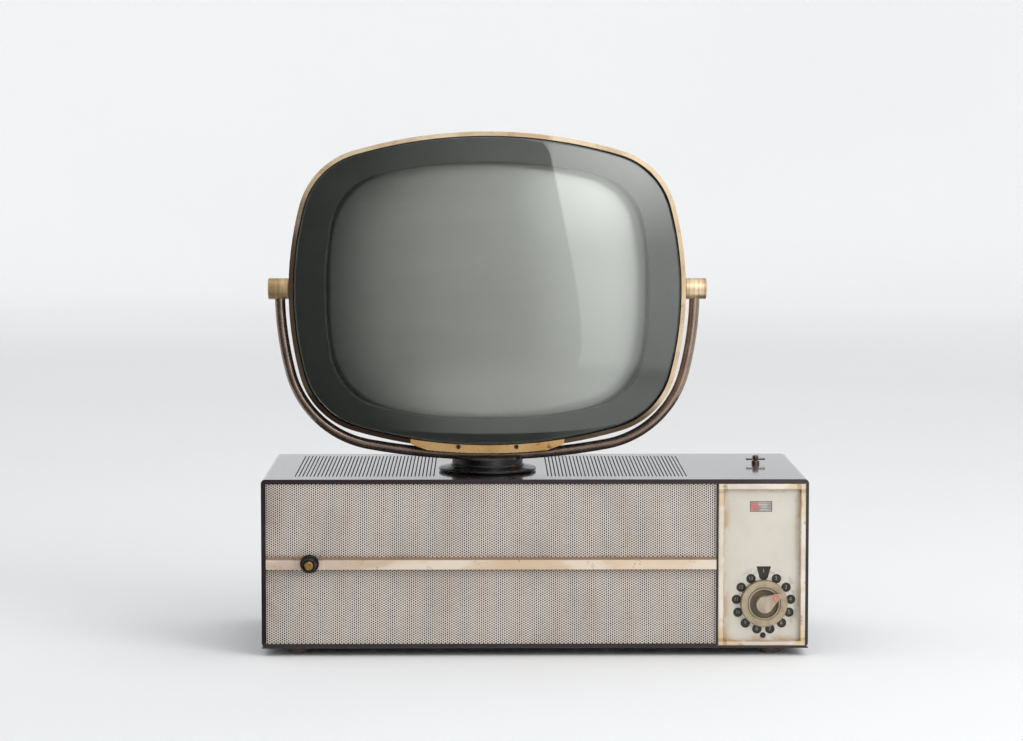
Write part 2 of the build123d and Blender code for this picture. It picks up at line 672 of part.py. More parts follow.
# ---- chassis ------------------------------------------------------------------------
CHASSIS_MID_X = (CHASSIS_LEFT + CHASSIS_RIGHT) / 2
CHASSIS_MID_DEPTH = (CHASSIS_FRONT + CHASSIS_REAR) / 2
PAN_TOP = FOOT_H + SHEET
# Valves standing on the chassis: x, depth, radius and height of the glass.
VALVES = [
    (-150, 110, 9.5, 48), (-115, 150, 9.5, 48), (-150, 190, 11.0, 58), (-85, 190, 9.5, 48),
    (-40, 150, 9.5, 48), (-5, 190, 11.0, 62), (30, 120, 9.5, 48), (65, 160, 14.5, 78),
    (65, 220, 13.0, 70),
]
CAGE_X = 145.0           # perforated cage over the line output stage
CAGE_DEPTH = 190.0
CAGE_W = 92.0
CAGE_D = 88.0
CAGE_H = 100.0
TRAFO_X = -240.0         # power transformer: laminations and the coil box round them
TRAFO_DEPTH = 200.0
TRAFO_STACK = (72.0, 34.0, 84.0)
TRAFO_COIL = (56.0, 78.0, 60.0)
TRAFO_COIL_LOW = 12.0

with BuildPart() as chassis:
    with BuildSketch(level(CHASSIS_TOP, CHASSIS_MID_X, CHASSIS_MID_DEPTH)):
        Rectangle(CHASSIS_RIGHT - CHASSIS_LEFT, CHASSIS_REAR - CHASSIS_FRONT)
    extrude(amount=-(CHASSIS_TOP - PAN_TOP))
    with BuildSketch(level(CHASSIS_TOP - SHEET, CHASSIS_MID_X, CHASSIS_MID_DEPTH)):
        Rectangle(CHASSIS_RIGHT - CHASSIS_LEFT + 2, CHASSIS_REAR - CHASSIS_FRONT - 2 * SHEET)
    extrude(amount=-(CHASSIS_TOP - SHEET - PAN_TOP), mode=Mode.SUBTRACT)
    with BuildSketch(front_plane(CHASSIS_REAR - 2 * SHEET)):
        with Locations([(x, REAR_KNOB_Z) for x in REAR_KNOBS.values()]):
            Circle(SHAFT_R + 0.6)
        with Locations((INLET_X, INLET_Z)):
            Rectangle(34, 24)
    extrude(amount=4 * SHEET, dir=BACK, mode=Mode.SUBTRACT)
chassis.part.label = "chassis"
export_step(chassis.part, "parts/chassis.step")

with BuildPart() as power_transformer:
    with BuildSketch(level(CHASSIS_TOP, TRAFO_X, TRAFO_DEPTH)):
        Rectangle(*TRAFO_STACK[:2])
    extrude(amount=TRAFO_STACK[2])
    with BuildSketch(level(CHASSIS_TOP + TRAFO_COIL_LOW, TRAFO_X, TRAFO_DEPTH)):
        RectangleRounded(*TRAFO_COIL[:2], 8)
    extrude(amount=TRAFO_COIL[2])
    coil_ends = power_transformer.edges().group_by(Axis.Y)
    fillet(coil_ends[0] + coil_ends[-1], 5)
power_transformer.part.label = "power_transformer"
export_step(power_transformer.part, "parts/power_transformer.step")

with BuildPart() as valves:
    base_z = CHASSIS_TOP
    for x, depth, r, height in VALVES:
        top = base_z + height
        glass = [
            (0, base_z), (r * 0.9, base_z), (r, base_z + 2), (r, top - r * 0.8),
            (r * 0.75, top - r * 0.35), (r * 0.3, top - r * 0.1), (r * 0.12, top + 3), (0, top + 3),
        ]
        add(turned(glass, front_plane(depth, x)))
valves.part.label = "valves"
export_step(valves.part, "parts/valves.step")

with BuildPart() as flyback_cage:
    with BuildSketch(level(CHASSIS_TOP, CAGE_X, CAGE_DEPTH)):
        Rectangle(CAGE_W, CAGE_D)
    extrude(amount=CAGE_H)
    with BuildSketch(level(CHASSIS_TOP, CAGE_X, CAGE_DEPTH)):
        Rectangle(CAGE_W - 2, CAGE_D - 2)
    extrude(amount=CAGE_H - 1, mode=Mode.SUBTRACT)
    with BuildSketch(level(CHASSIS_TOP + CAGE_H, CAGE_X, CAGE_DEPTH)):
        with GridLocations(12, 1, 6, 1):
            SlotOverall(70, 5, rotation=90)
    extrude(amount=-2, mode=Mode.SUBTRACT)
flyback_cage.part.label = "flyback_cage"
export_step(flyback_cage.part, "parts/flyback_cage.step")

# ---- controls and sockets at the back ------------------------------------------------
REAR_POT_DEPTH = 244.0
REAR_KNOB_FRONT = 274.0
REAR_KNOB_BACK = 284.0

with BuildPart() as rear_control_pots:
    for x in REAR_KNOBS.values():
        with BuildSketch(front_plane(REAR_POT_DEPTH, x, REAR_KNOB_Z)):
            Circle(11.0)
            Circle(SHAFT_R + RUN, mode=Mode.SUBTRACT)
        extrude(amount=CHASSIS_REAR - SHEET - REAR_POT_DEPTH, dir=BACK)
rear_control_pots.part.label = "rear_control_pots"
export_step(rear_control_pots.part, "parts/rear_control_pots.step")

for name, x in REAR_KNOBS.items():
    with BuildPart() as rear_knob:
        with BuildSketch(front_plane(REAR_POT_DEPTH + 1, x, REAR_KNOB_Z)):
            Circle(SHAFT_R)
        extrude(amount=REAR_KNOB_FRONT - REAR_POT_DEPTH - 1, dir=BACK)
        with BuildSketch(front_plane(REAR_KNOB_FRONT, x, REAR_KNOB_Z)):
            Circle(8.5)
            with PolarLocations(8.7, 18):
                Circle(0.8, mode=Mode.SUBTRACT)
        extrude(amount=REAR_KNOB_BACK - REAR_KNOB_FRONT, dir=BACK)
        with BuildSketch(front_plane(REAR_KNOB_BACK, x, REAR_KNOB_Z)):
            with Locations((0, 4.5)):
                Rectangle(1.2, 6)
        extrude(amount=-0.8, dir=BACK, mode=Mode.SUBTRACT)
    rear_knob.part.label = f"{name}_knob"
    export_step(rear_knob.part, f"parts/{name}_knob.step")

with BuildPart() as interlock_inlet:
    inlet_front = 250.0
    recess_depth = 258.0
    cover_back = COVER_DEPTH + COVER_T
    with BuildSketch(front_plane(inlet_front, INLET_X, INLET_Z)):
        Rectangle(34, 24)
    extrude(amount=cover_back - inlet_front, dir=BACK)
    with BuildSketch(front_plane(recess_depth, INLET_X, INLET_Z)):
        RectangleRounded(26, 15, 3)
    extrude(amount=cover_back - recess_depth, dir=BACK, mode=Mode.SUBTRACT)
interlock_inlet.part.label = "interlock_inlet"
export_step(interlock_inlet.part, "parts/interlock_inlet.step")

with BuildPart() as interlock_pins:
    with BuildSketch(front_plane(recess_depth, INLET_X, INLET_Z)):
        with GridLocations(15.0, 1, 2, 1):
            Circle(1.6)
    extrude(amount=10.0, dir=BACK)
    fillet(interlock_pins.edges().group_by(Axis.Y)[-1], 1.0)
interlock_pins.part.label = "interlock_pins"
export_step(interlock_pins.part, "parts/interlock_pins.step")

with BuildPart() as antenna_terminals:
    terminals_x = 255.0
    terminals_z = 150.0
    with BuildSketch(front_plane(COVER_DEPTH + COVER_T, terminals_x, terminals_z)):
        RectangleRounded(44, 16, 2)
        with GridLocations(22, 1, 2, 1):
            Circle(3.5, mode=Mode.SUBTRACT)
    extrude(amount=2.0, dir=BACK)
    with BuildSketch(front_plane(COVER_DEPTH + COVER_T, terminals_x, terminals_z)):
        with GridLocations(22, 1, 2, 1):
            Circle(3.4)
            Rectangle(5.2, 0.9, mode=Mode.SUBTRACT)
    extrude(amount=4.0, dir=BACK)
antenna_terminals.part.label = "antenna_terminals"
export_step(antenna_terminals.part, "parts/antenna_terminals.step")

# ---- telescopic antenna --------------------------------------------------------------
BARREL_LOW = 28.0
COLLAR_TOP = 206.5
MID_R = 2.5
TIP_R = 1.4
WING_Z = 207.2

with BuildPart() as antenna_barrel:
    add(
        turned(
            [
                (0, BARREL_LOW), (BARREL_R, BARREL_LOW), (BARREL_R, CAB_TOP), (4.7, CAB_TOP),
                (4.7, COLLAR_TOP - 1), (4.0, COLLAR_TOP), (MID_R + RUN, COLLAR_TOP),
                (MID_R + RUN, BARREL_LOW + 2), (0, BARREL_LOW + 2),
            ],
            front_plane(ANTENNA_DEPTH, ANTENNA_X),
        )
    )
antenna_barrel.part.label = "antenna_barrel"
export_step(antenna_barrel.part, "parts/antenna_barrel.step")

with BuildPart() as antenna_mid:
    add(
        turned(
            [(TIP_R + RUN, 32.0), (MID_R, 32.0), (MID_R, COLLAR_TOP - 0.3), (TIP_R + RUN, COLLAR_TOP - 0.3)],
            front_plane(ANTENNA_DEPTH, ANTENNA_X),
        )
    )
antenna_mid.part.label = "antenna_mid"
export_step(antenna_mid.part, "parts/antenna_mid.step")

with BuildPart() as antenna_tip:
    add(
        turned(
            [
                (0, 34.0), (TIP_R, 34.0), (TIP_R, WING_Z), (3.0, WING_Z), (3.7, WING_Z + 2.0),
                (3.7, WING_Z + 4.6), (2.9, WING_Z + 5.6), (0, WING_Z + 6.0),
            ],
            front_plane(ANTENNA_DEPTH, ANTENNA_X),
        )
    )
    with BuildSketch(level(WING_Z, ANTENNA_X, ANTENNA_DEPTH)):
        SlotOverall(22.8, 4.2)
    extrude(amount=1.9)
antenna_tip.part.label = "antenna_tip"
export_step(antenna_tip.part, "parts/antenna_tip.step")

# ---- swivel -------------------------------------------------------------------------
BASE_R = 56.5
BASE_TOP = 209.0
HUB_R = 41.0
HUB_LOW = 209.3
HUB_TOP = 219.5
NUT_TOP = 192.0
BUSH_LOW = 192.5

with BuildPart() as swivel_base:
    add(
        turned(
            [
                (BUSH_R, CAB_TOP), (BASE_R - 2.0, CAB_TOP), (BASE_R - 1.6, CAB_TOP + 0.8),
                (BASE_R - 0.3, CAB_TOP + 1.4), (BASE_R, CAB_TOP + 2.0), (BASE_R, CAB_TOP + 3.4),
                (BASE_R - 1.0, CAB_TOP + 4.2), (46.0, BASE_TOP - 0.6), (43.5, BASE_TOP), (BUSH_R, BASE_TOP),
            ],
            front_plane(PIVOT_DEPTH, PIVOT_X),
        )
    )
swivel_base.part.label = "swivel_base"
export_step(swivel_base.part, "parts/swivel_base.step")

with BuildPart() as spindle_bush:
    add(
        turned(
            [
                (SPINDLE_R + RUN, BUSH_LOW), (24.0, BUSH_LOW), (24.0, BUSH_LOW + 2.5), (BUSH_R, TOP_IN - 4.0),
                (BUSH_R, BASE_TOP), (SPINDLE_R + RUN, BASE_TOP),
            ],
            front_plane(PIVOT_DEPTH, PIVOT_X),
        )
    )
spindle_bush.part.label = "spindle_bush"
export_step(spindle_bush.part, "parts/spindle_bush.step")

with BuildPart() as swivel_hub:
    add(
        turned(
            [
                (SPINDLE_R, HUB_LOW), (HUB_R + 1.5, HUB_LOW), (HUB_R + 1.5, HUB_LOW + 1.2),
                (HUB_R, HUB_LOW + 2.4), (HUB_R, HUB_TOP - 1.5), (HUB_R - 1.5, HUB_TOP),
                (SPINDLE_R, HUB_TOP),
            ],
            front_plane(PIVOT_DEPTH, PIVOT_X),
        )
    )
    add(yoke_sweep(YOKE_R), mode=Mode.SUBTRACT)
swivel_hub.part.label = "swivel_hub"
export_step(swivel_hub.part, "parts/swivel_hub.step")

with BuildPart() as swivel_spindle:
    with BuildSketch(level(180.0, PIVOT_X, PIVOT_DEPTH)):
        Circle(SPINDLE_R)
        Circle(SPINDLE_R - 4, mode=Mode.SUBTRACT)
    extrude(amount=213.5 - 180.0)
swivel_spindle.part.label = "swivel_spindle"
export_step(swivel_spindle.part, "parts/swivel_spindle.step")

with BuildPart() as spindle_nut:
    with BuildSketch(level(NUT_TOP, PIVOT_X, PIVOT_DEPTH)):
        RegularPolygon(20.0, 6)
        Circle(SPINDLE_R, mode=Mode.SUBTRACT)
    extrude(amount=-8.0)
spindle_nut.part.label = "spindle_nut"
export_step(spindle_nut.part, "parts/spindle_nut.step")

with BuildPart() as yoke_tube:
    add(yoke_sweep(YOKE_R))
    add(yoke_sweep(YOKE_R - YOKE_WALL), mode=Mode.SUBTRACT)
yoke_tube.part.label = "yoke_tube"
export_step(yoke_tube.part, "parts/yoke_tube.step")

for side, sign in (("left", -1), ("right", 1)):
    with BuildPart() as pivot_housing:
        axis_plane = Plane((PIVOT_X, FRONT + PIVOT_DEPTH, TILT_Z), x_dir=UP, z_dir=BACK)
        add(
            turned(
                [
                    (PIN_R + RUN, sign * HOUSING_IN), (HOUSING_R, sign * HOUSING_IN),
                    (HOUSING_R, sign * (HOUSING_OUT - 0.8)), (HOUSING_R - 0.8, sign * HOUSING_OUT),
                    (0, sign * HOUSING_OUT), (0, sign * (HOUSING_OUT - 3)),
                    (PIN_R + RUN, sign * (HOUSING_OUT - 3)),
                ],
                axis_plane,
            )
        )
        add(yoke_sweep(YOKE_R), mode=Mode.SUBTRACT)
    pivot_housing.part.label = f"pivot_housing_{side}"
    export_step(pivot_housing.part, f"parts/pivot_housing_{side}.step")

# ---- picture head -------------------------------------------------------------------
PIN_OUT = HOUSING_OUT - 3.5
PIN_FLANGE_OUT = RING[0] - RING_WALL - 0.3
CLIP_HALF = 89.0         # half width of the gold clip under the window
CLIP_LOW = 224.0
CLIP_HIGH = 233.3
CLIP_T = 1.8
CLIP_SCREW_R = 2.6
CLIP_SHANK_R = 1.2
CLIP_SCREWS = ((-33.6, 231.6), (33.6, 231.6))

with BuildPart() as pivot_pins:
    for sign in (-1, 1):
        axis_plane = Plane((PIVOT_X, FRONT + PIVOT_DEPTH, TILT_Z), x_dir=UP, z_dir=BACK)
        add(
            turned(
                [
                    (0, sign * 214), (PIN_R, sign * 214), (PIN_R, sign * 221), (7.0, sign * 221),
                    (7.0, sign * PIN_FLANGE_OUT), (PIN_R, sign * PIN_FLANGE_OUT), (PIN_R, sign * PIN_OUT),
                    (0, sign * PIN_OUT),
                ],
                axis_plane,
            )
        )
pivot_pins.part.label = "pivot_pins"
export_step(pivot_pins.part, "parts/pivot_pins.step")

with BuildPart() as trim_ring:
    with BuildSketch(head_plane(RING_FRONT)):
        add(oval(RING))
        add(oval(inset(RING, RING_WALL)), mode=Mode.SUBTRACT)
    extrude(amount=RING_BAND, dir=BACK)
    with BuildSketch(head_plane(RING_FRONT)):
        add(oval(RING))
        add(oval(inset(RING, RING_LIP)), mode=Mode.SUBTRACT)
    extrude(amount=RING_WALL, dir=BACK)
    with Locations(Plane((PIVOT_X, FRONT + PIVOT_DEPTH, TILT_Z), z_dir=ACROSS)):
        Cylinder(PIN_R, 2 * RING[0] + 10, mode=Mode.SUBTRACT)
trim_ring.part.label = "trim_ring"
export_step(trim_ring.part, "parts/trim_ring.step")

with BuildPart() as front_window:
    add(dome(WINDOW_FRONT, WINDOW_T))
    with BuildSketch(head_plane(WINDOW_FRONT - 10)):
        add(oval(inset(RING, RING_LIP + WINDOW_GAP)))
    extrude(amount=60, dir=BACK, mode=Mode.INTERSECT)
front_window.part.label = "front_window"
export_step(front_window.part, "parts/front_window.step")

MASK_FRONT = WINDOW_FRONT + WINDOW_T + MASK_GAP


def mask_face():
    """Domed frame between the window and the picture tube."""
    with BuildPart() as face:
        add(dome(MASK_FRONT, MASK_T))
        with BuildSketch(head_plane(WINDOW_FRONT)):
            add(oval(inset(RING, RING_LIP + 0.8)))
            add(oval(SCREEN_OPENING), mode=Mode.SUBTRACT)
        extrude(amount=60, dir=BACK, mode=Mode.INTERSECT)
    return face.part


with BuildPart() as screen_mask:
    with BuildSketch(head_plane(WINDOW_FRONT)):
        add(oval(inset(SCREEN_OPENING, -MASK_T)))
        add(oval(SCREEN_OPENING), mode=Mode.SUBTRACT)
    extrude(amount=60, dir=BACK)
    with Locations((PIVOT_X, FRONT + FACE_FRONT + FACE_R, HEAD_Z)):
        Sphere(FACE_R + MASK_GAP, mode=Mode.SUBTRACT)
    add(dome(MASK_FRONT - LIP_CUT, LIP_CUT), mode=Mode.SUBTRACT)
    add(mask_face())
screen_mask.part.label = "screen_mask"
export_step(screen_mask.part, "parts/screen_mask.step")


def bulb(wall):
    """Picture tube envelope, or the space inside it when a wall thickness is given."""
    face = inset(TUBE_FACE, wall)
    face_front = FACE_FRONT + wall * 1.6
    neck = (NECK_R - wall * 0.4,) * 2 + (24.0, 24.0, 15.5)
    rim_depth = 118.0
    with BuildPart() as glass:
        with BuildSketch(head_plane(FACE_FRONT - 5)):
            add(oval(face))
        extrude(amount=rim_depth - FACE_FRONT + 5, dir=BACK)
        with Locations((PIVOT_X, FRONT + face_front + FACE_R, HEAD_Z)):
            Sphere(FACE_R, mode=Mode.INTERSECT)
        for front_depth, front_size, back_depth, back_size in (
            (rim_depth, face, 160.0, between(face, neck, 0.38)),
            (160.0, between(face, neck, 0.38), 214.0, neck),
        ):
            with BuildSketch(head_plane(front_depth)):
                add(oval(front_size))
            with BuildSketch(head_plane(back_depth)):
                add(oval(back_size))
            loft(ruled=True)
        with BuildSketch(head_plane(214.0)):
            add(oval(neck))
        extrude(amount=286.0 - 214.0 - wall, dir=BACK)
    return glass.part


with BuildPart() as picture_tube:
    add(bulb(0))
    add(bulb(5.0), mode=Mode.SUBTRACT)
picture_tube.part.label = "picture_tube"
export_step(picture_tube.part, "parts/picture_tube.step")

with BuildPart() as deflection_coil:
    add(
        turned(
            [(19.0, 214.0), (38.0, 210.0), (40.0, 214.0), (36.0, 240.0), (30.0, 246.0), (19.0, 246.0)],
            level(HEAD_Z, PIVOT_X),
        )
    )
deflection_coil.part.label = "deflection_coil"
export_step(deflection_coil.part, "parts/deflection_coil.step")

with BuildPart() as tube_base_socket:
    with BuildSketch(head_plane(286.0)):
        Circle(18.0)
    extrude(amount=14.0, dir=BACK)
tube_base_socket.part.label = "tube_base_socket"
export_step(tube_base_socket.part, "parts/tube_base_socket.step")

# Rear shell sections: depth, and how far the outline has shrunk to the neck's.
SHELL_SECTIONS = ((104, 0.0), (112, 0.01), (135, 0.07), (165, 0.22), (205, 0.51), (240, 0.83), (268, 1.0))


def shell_body(wall):
    """Dish behind the ring that tapers to the neck."""
    rim = inset(RING, RING_WALL + 0.4 + wall)
    neck = inset(NECK_END, wall)
    with BuildPart() as dish:
        for depth, share in SHELL_SECTIONS:
            with BuildSketch(head_plane(depth)):
                add(oval(between(rim, neck, share)))
        loft()
    return dish.part


with BuildPart() as rear_shell:
    add(shell_body(0))
    add(shell_body(2.5), mode=Mode.SUBTRACT)
rear_shell.part.label = "rear_shell"
export_step(rear_shell.part, "parts/rear_shell.step")

with BuildPart() as neck_cap:
    add(
        turned(
            [
                (37.0, 268.0), (40.0, 268.0), (38.0, 298.0), (31.0, HEAD_REACH), (0, HEAD_REACH),
                (0, HEAD_REACH - 2), (29.5, HEAD_REACH - 2), (35.6, 297.0),
            ],
            level(HEAD_Z, PIVOT_X),
        )
    )
neck_cap.part.label = "neck_cap"
export_step(neck_cap.part, "parts/neck_cap.step")

with BuildPart() as window_clip:
    ring_r = RING[2]
    with BuildSketch(front_plane(RING_FRONT - CLIP_T, PIVOT_X)):
        with BuildLine():
            rise = CLIP_HALF**2 / (2 * ring_r)
            low_x = 70.0
            low_z = CLIP_LOW + low_x**2 / (2 * 640.0)
            end_low = CLIP_LOW + 11.0
            end_high = CLIP_HIGH + rise
            ThreePointArc((-CLIP_HALF, end_high), (0, CLIP_HIGH), (CLIP_HALF, end_high))
            Line((CLIP_HALF, end_high), (CLIP_HALF, end_low))
            Line((CLIP_HALF, end_low), (low_x, low_z))
            ThreePointArc((low_x, low_z), (0, CLIP_LOW), (-low_x, low_z))
            Line((-low_x, low_z), (-CLIP_HALF, end_low))
            Line((-CLIP_HALF, end_low), (-CLIP_HALF, end_high))
        make_face()
        with Locations(*CLIP_SCREWS):
            Circle(CLIP_SHANK_R, mode=Mode.SUBTRACT)
    extrude(amount=CLIP_T, dir=BACK)
window_clip.part.label = "window_clip"
export_step(window_clip.part, "parts/window_clip.step")

with BuildPart() as clip_screws:
    with BuildSketch(front_plane(RING_FRONT - CLIP_T, PIVOT_X)):
        with Locations(*CLIP_SCREWS):
            Circle(CLIP_SCREW_R)
    extrude(amount=1.2)
    with BuildSketch(front_plane(RING_FRONT - CLIP_T, PIVOT_X)):
        with Locations(*CLIP_SCREWS):
            Circle(CLIP_SHANK_R)
    extrude(amount=0.8, dir=BACK)
clip_screws.part.label = "clip_screws"
export_step(clip_screws.part, "parts/clip_screws.step")
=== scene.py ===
import json
import math
import bpy
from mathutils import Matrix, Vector


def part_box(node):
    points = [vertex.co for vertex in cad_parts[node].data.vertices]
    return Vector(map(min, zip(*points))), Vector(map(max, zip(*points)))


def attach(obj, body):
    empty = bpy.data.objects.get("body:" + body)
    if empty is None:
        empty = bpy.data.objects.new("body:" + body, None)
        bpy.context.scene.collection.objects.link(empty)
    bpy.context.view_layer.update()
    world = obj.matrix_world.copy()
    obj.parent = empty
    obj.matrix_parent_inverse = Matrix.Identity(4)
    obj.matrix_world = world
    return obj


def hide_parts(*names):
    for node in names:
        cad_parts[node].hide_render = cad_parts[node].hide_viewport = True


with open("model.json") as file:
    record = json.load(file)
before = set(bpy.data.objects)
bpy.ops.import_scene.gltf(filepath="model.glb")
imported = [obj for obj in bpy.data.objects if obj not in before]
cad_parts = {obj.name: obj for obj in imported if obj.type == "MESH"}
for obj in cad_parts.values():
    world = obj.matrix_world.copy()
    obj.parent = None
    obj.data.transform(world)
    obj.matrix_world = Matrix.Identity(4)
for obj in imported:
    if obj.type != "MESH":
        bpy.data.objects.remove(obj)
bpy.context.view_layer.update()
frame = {"nodes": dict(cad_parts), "record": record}

# Swivel-screen table television. Metres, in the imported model's own frame.
MM = 0.001
nodes = frame["nodes"]

# Outlines of the picture head, as in the solids: half width, half height, arc radii.
RING = (229.4, 183.9, 551.6, 382.5, 90.3)
OPENING = (186.5, 148.8, 537.0, 458.0, 70.0)
HOUSING_IN = 230.0 * MM     # inner ends of the pivot housings, from the middle of the head


def middle(node):
    """Centre of a node's box."""
    low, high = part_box(node)
    return (low + high) / 2


# ---- materials ----------------------------------------------------------------------
BEVEL_SAMPLES = 4
GLASS_IOR = 1.49


def tone(code):
    """Linear colour of an sRGB hex code."""
    parts = [int(code[i:i + 2], 16) / 255 for i in (0, 2, 4)]
    return [p / 12.92 if p <= 0.04045 else ((p + 0.055) / 1.055) ** 2.4 for p in parts] + [1.0]


class Graph:
    """Shader graph of one material. A value may be a socket, a number or a colour."""

    def __init__(self, name):
        self.material = bpy.data.materials.new(name)
        self.material.use_nodes = True
        self.tree = self.material.node_tree
        self.tree.nodes.clear()
        self.place = self.node("ShaderNodeTexCoord").outputs["Object"]

    def node(self, kind, settings=None, **inputs):
        made = self.tree.nodes.new(kind)
        for key, value in (settings or {}).items():
            setattr(made, key, value)
        for key, value in inputs.items():
            self.put(made.inputs[key.replace("_", " ")], value)
        return made

    def put(self, socket, value):
        if isinstance(value, bpy.types.NodeSocket):
            self.tree.links.new(value, socket)
        else:
            socket.default_value = value

    def noise(self, scale, detail=3.0, stretch=(1, 1, 1), shift=0.0, rough=0.5):
        mapped = self.node(
            "ShaderNodeMapping", Vector=self.place, Scale=stretch, Location=(shift, shift, shift)
        )
        texture = self.node(
            "ShaderNodeTexNoise", Vector=mapped.outputs[0], Scale=scale, Detail=detail, Roughness=rough
        )
        return texture.outputs["Fac"]

    def spots(self, scale, size, shift=0.0):
        """Round spots, 1 inside and 0 outside."""
        mapped = self.node("ShaderNodeMapping", Vector=self.place, Location=(shift, shift, shift))
        cells = self.node("ShaderNodeTexVoronoi", Vector=mapped.outputs[0], Scale=scale)
        return self.ramp(cells.outputs["Distance"], size, size * 0.5)

    def axis(self, index):
        return self.node("ShaderNodeSeparateXYZ", Vector=self.place).outputs[index]

    def ramp(self, value, low, high, first=0.0, last=1.0):
        made = self.node("ShaderNodeMapRange", {"clamp": True, "interpolation_type": "SMOOTHSTEP"})
        for index, entry in enumerate((value, low, high, first, last)):
            self.put(made.inputs[index], entry)
        return made.outputs[0]

    def calc(self, operation, first, second=0.0):
        made = self.node("ShaderNodeMath", {"operation": operation, "use_clamp": False})
        self.put(made.inputs[0], first)
        self.put(made.inputs[1], second)
        return made.outputs[0]

    def times(self, *values):
        result = values[0]
        for value in values[1:]:
            result = self.calc("MULTIPLY", result, value)
        return result

    def plus(self, *values):
        result = values[0]
        for value in values[1:]:
            result = self.calc("ADD", result, value)
        return result

    def mix(self, share, first, second):
        made = self.node("ShaderNodeMix", {"data_type": "RGBA", "clamp_factor": True})
        self.put(made.inputs[0], share)
        self.put(made.inputs[6], first)
        self.put(made.inputs[7], second)
        return made.outputs[2]

    def edge(self, radius):
        """1 along outer edges, 0 on flat faces."""
        rounded = self.node("ShaderNodeBevel", {"samples": BEVEL_SAMPLES}, Radius=radius).outputs[0]
        flat = self.node("ShaderNodeNewGeometry").outputs["Normal"]
        made = self.node("ShaderNodeVectorMath", {"operation": "DOT_PRODUCT"})
        self.put(made.inputs[0], rounded)
        self.put(made.inputs[1], flat)
        return self.ramp(made.outputs["Value"], 0.99, 0.86)

    def bump(self, height, distance, strength=1.0, rounding=0.0):
        made = self.node("ShaderNodeBump", Height=height, Distance=distance, Strength=strength)
        if rounding:
            rounded = self.node("ShaderNodeBevel", {"samples": BEVEL_SAMPLES}, Radius=rounding).outputs[0]
            self.put(made.inputs["Normal"], rounded)
        return made.outputs[0]

    def surface(self, **inputs):
        shader = self.node("ShaderNodeBsdfPrincipled", **inputs)
        self.output(shader.outputs[0])
        return self.material

    def output(self, shader):
        made = self.node("ShaderNodeOutputMaterial")
        self.tree.links.new(shader, made.inputs["Surface"])
        return self.material


def finish_material(
    name, base, second, rough, metallic=0.0, patch=25.0, grain=900.0, depth=0.00003,
    wear=None, wear_share=0.6, rounding=0.0, rough_spread=0.12, **inputs
):
    """Two mottled tones with a fine grain, uneven gloss and, where given, worn edges."""
    g = Graph(name)
    blotch = g.ramp(g.noise(patch, 5.0), 0.35, 0.68)
    speck = g.ramp(g.noise(grain, 2.0), 0.4, 0.7)
    color = g.mix(g.plus(g.times(blotch, 0.75), g.times(speck, 0.25)), tone(base), tone(second))
    spread = rough_spread / 2
    gloss = g.ramp(g.noise(patch * 3.1, 4.0, shift=3.0), 0.3, 0.7, rough - spread, rough + spread)
    if wear:
        rubbed = g.times(g.edge(0.0009), g.ramp(g.noise(160.0, 4.0, shift=7.0), 0.38, 0.6), wear_share)
        color = g.mix(rubbed, color, tone(wear))
    grains = g.plus(g.noise(grain, 3.0), g.times(g.noise(grain * 0.13, 2.0), 1.5))
    normal = g.bump(grains, depth, 1.0, rounding)
    return g.surface(Base_Color=color, Roughness=gloss, Metallic=metallic, Normal=normal, **inputs)


def grille_paint():
    """Off-white paint, browner in a band just above the bar and stained at the left end, with a painted
    shadow under the bar.
    """
    g = Graph("grille_paint")
    height = g.axis(2)
    color = g.mix(g.ramp(g.noise(14.0, 5.0), 0.35, 0.7), tone("d8cfc5"), tone("cdc3b9"))
    color = g.mix(g.times(g.ramp(g.noise(620.0, 2.0), 0.5, 0.75), 0.35), color, tone("b5a899"))
    bar_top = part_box("trim_bar")[1].z
    # Browner band along the top of the bar and just above it.
    band_above_bar = g.times(
        g.ramp(height, bar_top + 0.0035, bar_top - 0.0005),
        g.ramp(height, bar_top - 0.004, bar_top - 0.002),
    )
    color = g.mix(g.times(band_above_bar, g.ramp(g.noise(60.0, 4.0), 0.35, 0.6), 0.6), color, tone("8f735d"))
    bar_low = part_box("trim_bar")[0].z
    # Painted shadow of the bar on the grille just below it.
    shade = g.times(
        g.ramp(height, bar_low - 0.013, bar_low),
        g.ramp(height, bar_low + 0.002, bar_low + 0.001),
        0.35,
    )
    color = g.mix(shade, color, tone("8f8072"))
    left = g.ramp(g.axis(0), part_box("speaker_grille")[0].x + 0.03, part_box("speaker_grille")[0].x)
    color = g.mix(g.times(left, g.ramp(g.noise(45.0, 3.0), 0.4, 0.6), 0.35), color, tone("9c8874"))
    gloss = g.ramp(g.noise(80.0, 3.0), 0.3, 0.7, 0.42, 0.58)
    return g.surface(Base_Color=color, Roughness=gloss, Normal=g.bump(g.noise(1500.0, 2.0), 0.00002))


